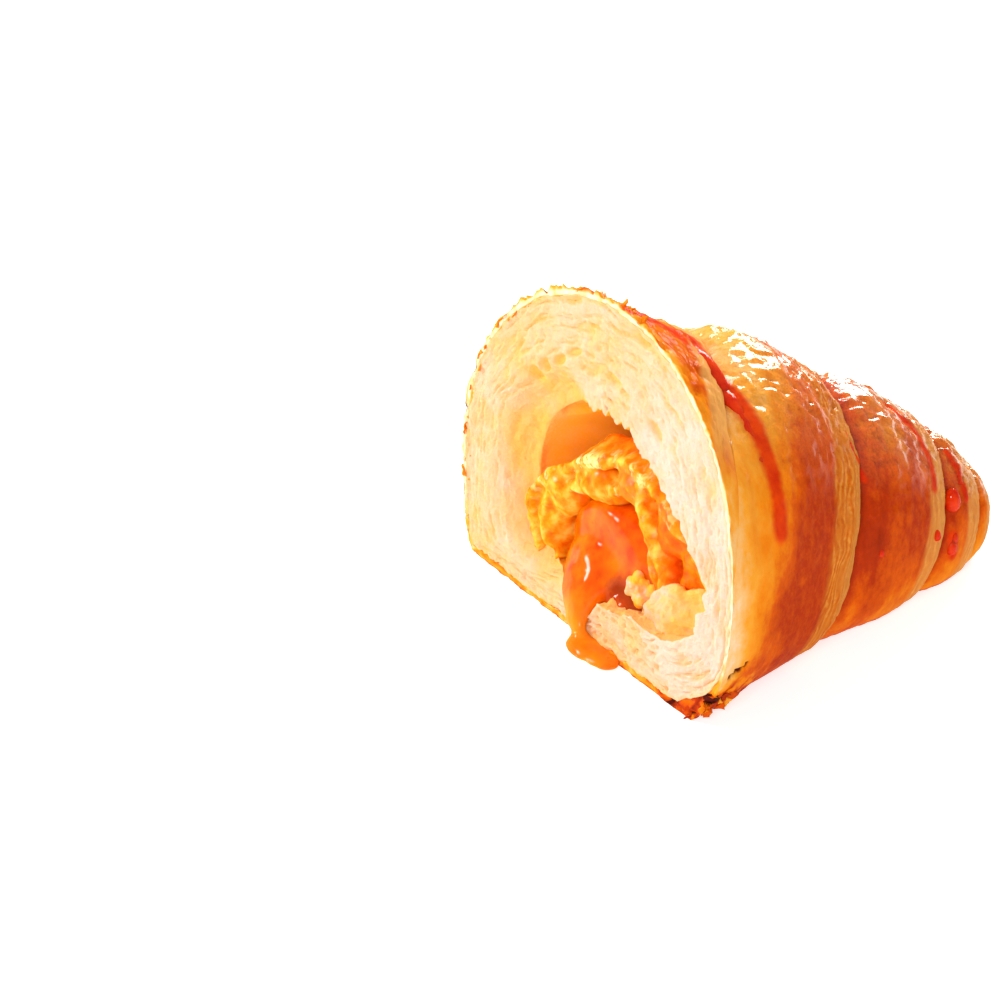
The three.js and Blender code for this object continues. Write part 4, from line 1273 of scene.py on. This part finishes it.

# %% [markdown]
# Crumb: pale cream, yellower in the pores and darker there as painted shade, toasted next to the
# crust and tan on the flap's face along the near wall as painted shade, amber and moist where the
# hollow's wall is soaked. The hollows of the fine grain are painted darker as their shade. It
# scatters light under its surface.

# %% Material of the crumb
m = Recipe("crumb")
colour = m.ramp(m.uneven(m.value("soak"), m.noise(4, 3), 0.25, clamp=True), [
    (0.0, srgb(228, 192, 172)), (0.12, srgb(232, 180, 138)), (0.25, srgb(240, 176, 96)),
    (0.45, srgb(250, 172, 46)), (0.65, srgb(252, 168, 14)), (1.0, srgb(248, 136, 4))])
# the pores: a yellower tone of their own, darkened as painted shade
colour = m.blend(m.times(m.value("pore"), 0.66), colour, srgb(250, 184, 66))
colour = m.blend(m.times(m.value("toast"), 0.45), colour, srgb(246, 186, 88))
grain_and_shade = m.plus(m.times(m.noise(0.35, 4.0), 0.5), m.times(m.cells(0.55), 0.5))
# painted shade: the hollows of the grain bump are coloured darker
colour = m.blend(m.times(m.range(grain_and_shade, 0.55, 0.25), 0.22), colour, srgb(244, 186, 110))
dry = m.math("SUBTRACT", 1.0, m.value("wet"), clamp=True)
strength = m.times(grain_and_shade, m.plus(m.times(dry, 0.85), 0.15))
m.finish(crumb, torn_crumb, crumbs, Base_Color=colour,
         Roughness=m.range(m.value("wet"), 0, 1, 0.8, 0.5),
         Specular_IOR_Level=0.12, Specular_Tint=(1, 0.85, 0.6, 1),
         Subsurface_Weight=0.35, Subsurface_Scale=0.0022, Subsurface_Radius=(1.0, 0.6, 0.28),
         Normal=m.bump(strength, 0.28, 0.9))
print("crumb material:", len(m.tree.nodes), "nodes")

# %% [markdown]
# Soaked dough: amber with redder places far from the light, and pale fibres where it tore. A thin
# clear coat, fine wrinkles and strong scattering make it look wet.

# %% Material of the soaked turn
m = Recipe("soaked_dough")
fibre = m.uneven(m.value("fibre"), m.noise(0.5, 3.0, (0.35, 1, 1)), 1.2)
amber = m.ramp(m.noise(1.9, 4.0, (0.7, 1, 1)), [
    (0.32, srgb(236, 104, 4)), (0.5, srgb(250, 148, 18)), (0.68, srgb(254, 194, 76))])
red = m.ramp(m.noise(2.0, 3.0), [(0.3, srgb(238, 84, 10)), (0.7, srgb(250, 132, 18))])
reach = m.plus(m.times(m.value("around"), 9.0), m.value("behind"))
body = m.blend(m.range(m.plus(reach, m.times(fibre, 1.6)), 4.5, 9.5), amber, red)
torn_edge = m.times(m.value("fray"), m.range(fibre, 0.0, 0.55))
m.finish(inner_turn, Base_Color=m.blend(torn_edge, body, srgb(254, 220, 140)),
         Roughness=m.range(m.noise(1.6, 3), 0.3, 0.7, 0.14, 0.36), Specular_IOR_Level=0.0,
         Coat_Weight=0.2, Coat_Roughness=0.02,
         Subsurface_Weight=0.6, Subsurface_Scale=0.004, Subsurface_Radius=(1.0, 0.6, 0.2),
         Normal=m.bump(m.noise(1.1, 5, (0.5, 1, 1)), 0.34, 0.9))
print("soaked dough material:", len(m.tree.nodes), "nodes")

# %% [markdown]
# Filling and glaze are clear and coloured through. Both are made by deep scattering under a very
# smooth coat: the filling orange with specks of fruit, the glaze a darker red.

# %% Materials of the filling and the glaze
m = Recipe("apricot_gel")
colour = m.ramp(m.noise(3.5, 3.0), [(0.32, srgb(200, 62, 0)), (0.68, srgb(238, 112, 4))])
colour = m.blend(m.value("thin"), colour, srgb(244, 136, 24))
# painted shade: the gel is darkened where it lies in the shade behind the lower lip
colour = m.blend(m.times(m.value("deep"), 0.85), colour, srgb(140, 44, 10))
fruit = m.times(m.range(m.cells(2.4), 0.16, 0.08), 0.4)
m.finish(filling, Base_Color=m.blend(fruit, colour, srgb(186, 56, 6)),
         Roughness=m.range(m.noise(2.0, 2.0), 0.3, 0.7, 0.05, 0.12), Specular_IOR_Level=0.0,
         Coat_Weight=0.32, Coat_Roughness=0.035,
         Subsurface_Weight=0.6, Subsurface_Scale=0.003, Subsurface_Radius=(1.0, 0.35, 0.06),
         Normal=m.bump(m.noise(2.2, 2.0), 0.25, 0.5))

m = Recipe("sugar_glaze")
colour = m.ramp(m.noise(2.5, 3.0), [(0.3, srgb(196, 26, 4)), (0.7, srgb(226, 62, 8))])
m.finish(glaze, Base_Color=colour, Roughness=m.range(m.noise(1.5, 2.0), 0.3, 0.7, 0.04, 0.1),
         Specular_IOR_Level=0.0, Coat_Weight=0.3, Coat_Roughness=0.03,
         Subsurface_Weight=0.5, Subsurface_Scale=0.002, Subsurface_Radius=(1.0, 0.25, 0.06),
         Normal=m.bump(m.noise(0.9, 3.0), 0.12, 0.5))
print("filling and glaze are ready")

# %% [markdown]
# Each piece is tied to the one body of the frame, and the solid that it stands for is hidden.
# SLOTS lists which of the record's four slots each piece's finish belongs to.

# %% Tie the pieces to the frame
SLOTS = {
    crust: "crust", flakes: "crust", crumb: "crumb", torn_crumb: "crumb", crumbs: "crumb",
    inner_turn: "crumb", glaze: "glaze", filling: "filling",
}
for piece, slot in SLOTS.items():
    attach(piece, "root")
    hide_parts("apricot_filling" if piece is filling else "pastry")
print("pieces:", ", ".join(piece.name for piece in SLOTS))

# %% [markdown]
# The stage is a bright table in pale surroundings. Most of the light comes from behind on the
# right, where it whitens the tops of the wraps. A lamp in front opens the cut, and three weaker
# ones behind and to the left put the glints on the glaze and the filling. The camera looks down at
# 25 degrees, 30 degrees round from the glazed side.

# %% Stage, lamps and camera
bm = bmesh.new()
bmesh.ops.create_grid(bm, x_segments=2, y_segments=2, size=3.0)
floor = keep_mesh("floor", bm, smooth_faces=False)
m = Recipe("pale_table")
greys = [(0.0, (0.52, 0.52, 0.52, 1)), (1.0, (0.54, 0.54, 0.54, 1))]
m.finish(floor, Base_Color=m.ramp(m.noise(60, 2.0), greys), Roughness=0.6,
         Specular_IOR_Level=0.0, Emission_Color=(1, 1, 1, 1), Emission_Strength=0.72)
floor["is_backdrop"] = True

world = bpy.data.worlds.new("pale_room")
world.use_nodes = True
background = world.node_tree.nodes["Background"]
background.inputs["Color"].default_value = (1.0, 0.99, 0.98, 1)
background.inputs["Strength"].default_value = 0.5
bpy.context.scene.world = world

LAMPS = {                        # place and size in metres, power in watts
    "back_lamp": ((0.50, 0.42, 0.33), 0.30, 5.0), "front_lamp": ((-0.46, -0.42, 0.34), 0.16, 2.1),
    "rear_lamp": ((0.22, 0.44, 0.50), 0.16, 1.1), "left_lamp": ((-0.61, 0.46, 0.32), 0.16, 3.4),
    "high_lamp": ((-0.16, 0.50, 0.54), 0.12, 2.4),
}
AIM = Vector((0, 0, 0.02))
for name, (place, size, power) in LAMPS.items():
    light = bpy.data.lights.new(name, "AREA")
    light.size, light.energy, light.color = size, power, (1.0, 0.985, 0.96)
    item = bpy.data.objects.new(name, light)
    item.location = place
    item.rotation_euler = (AIM - Vector(place)).to_track_quat("-Z", "Y").to_euler()
    bpy.context.scene.collection.objects.link(item)

AZIMUTH, ELEVATION = math.radians(-30), math.radians(25)
camera = bpy.data.objects.new("camera", bpy.data.cameras.new("camera"))
camera.data.lens, camera.data.sensor_width, camera.data.clip_end = 90, 36, 20
camera.location = (-0.2211354, -0.2948328, 0.1858362)
back = Vector((math.sin(AZIMUTH) * math.cos(ELEVATION), -math.cos(AZIMUTH) * math.cos(ELEVATION),
               math.sin(ELEVATION)))
camera.rotation_euler = back.to_track_quat("Z", "Y").to_euler()
bpy.context.scene.collection.objects.link(camera)
bpy.context.scene.camera = camera
bpy.context.scene.view_settings.view_transform = "Standard"
print("lamps:", ", ".join(LAMPS))

# %% [markdown]
# The last step compares the dressed model's box with the solids' box and prints the differences.

# %% Compare the size
visual_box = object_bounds()
for axis, name in enumerate("XYZ"):
    cad = (CAD_BOX[1][axis] - CAD_BOX[0][axis]) / MM
    low = (visual_box[0][axis] - CAD_BOX[0][axis]) / MM
    high = (visual_box[1][axis] - CAD_BOX[1][axis]) / MM
    print(f"{name}: solid {cad:.1f} mm, dressed model {low:+.2f} and {high:+.2f} mm")
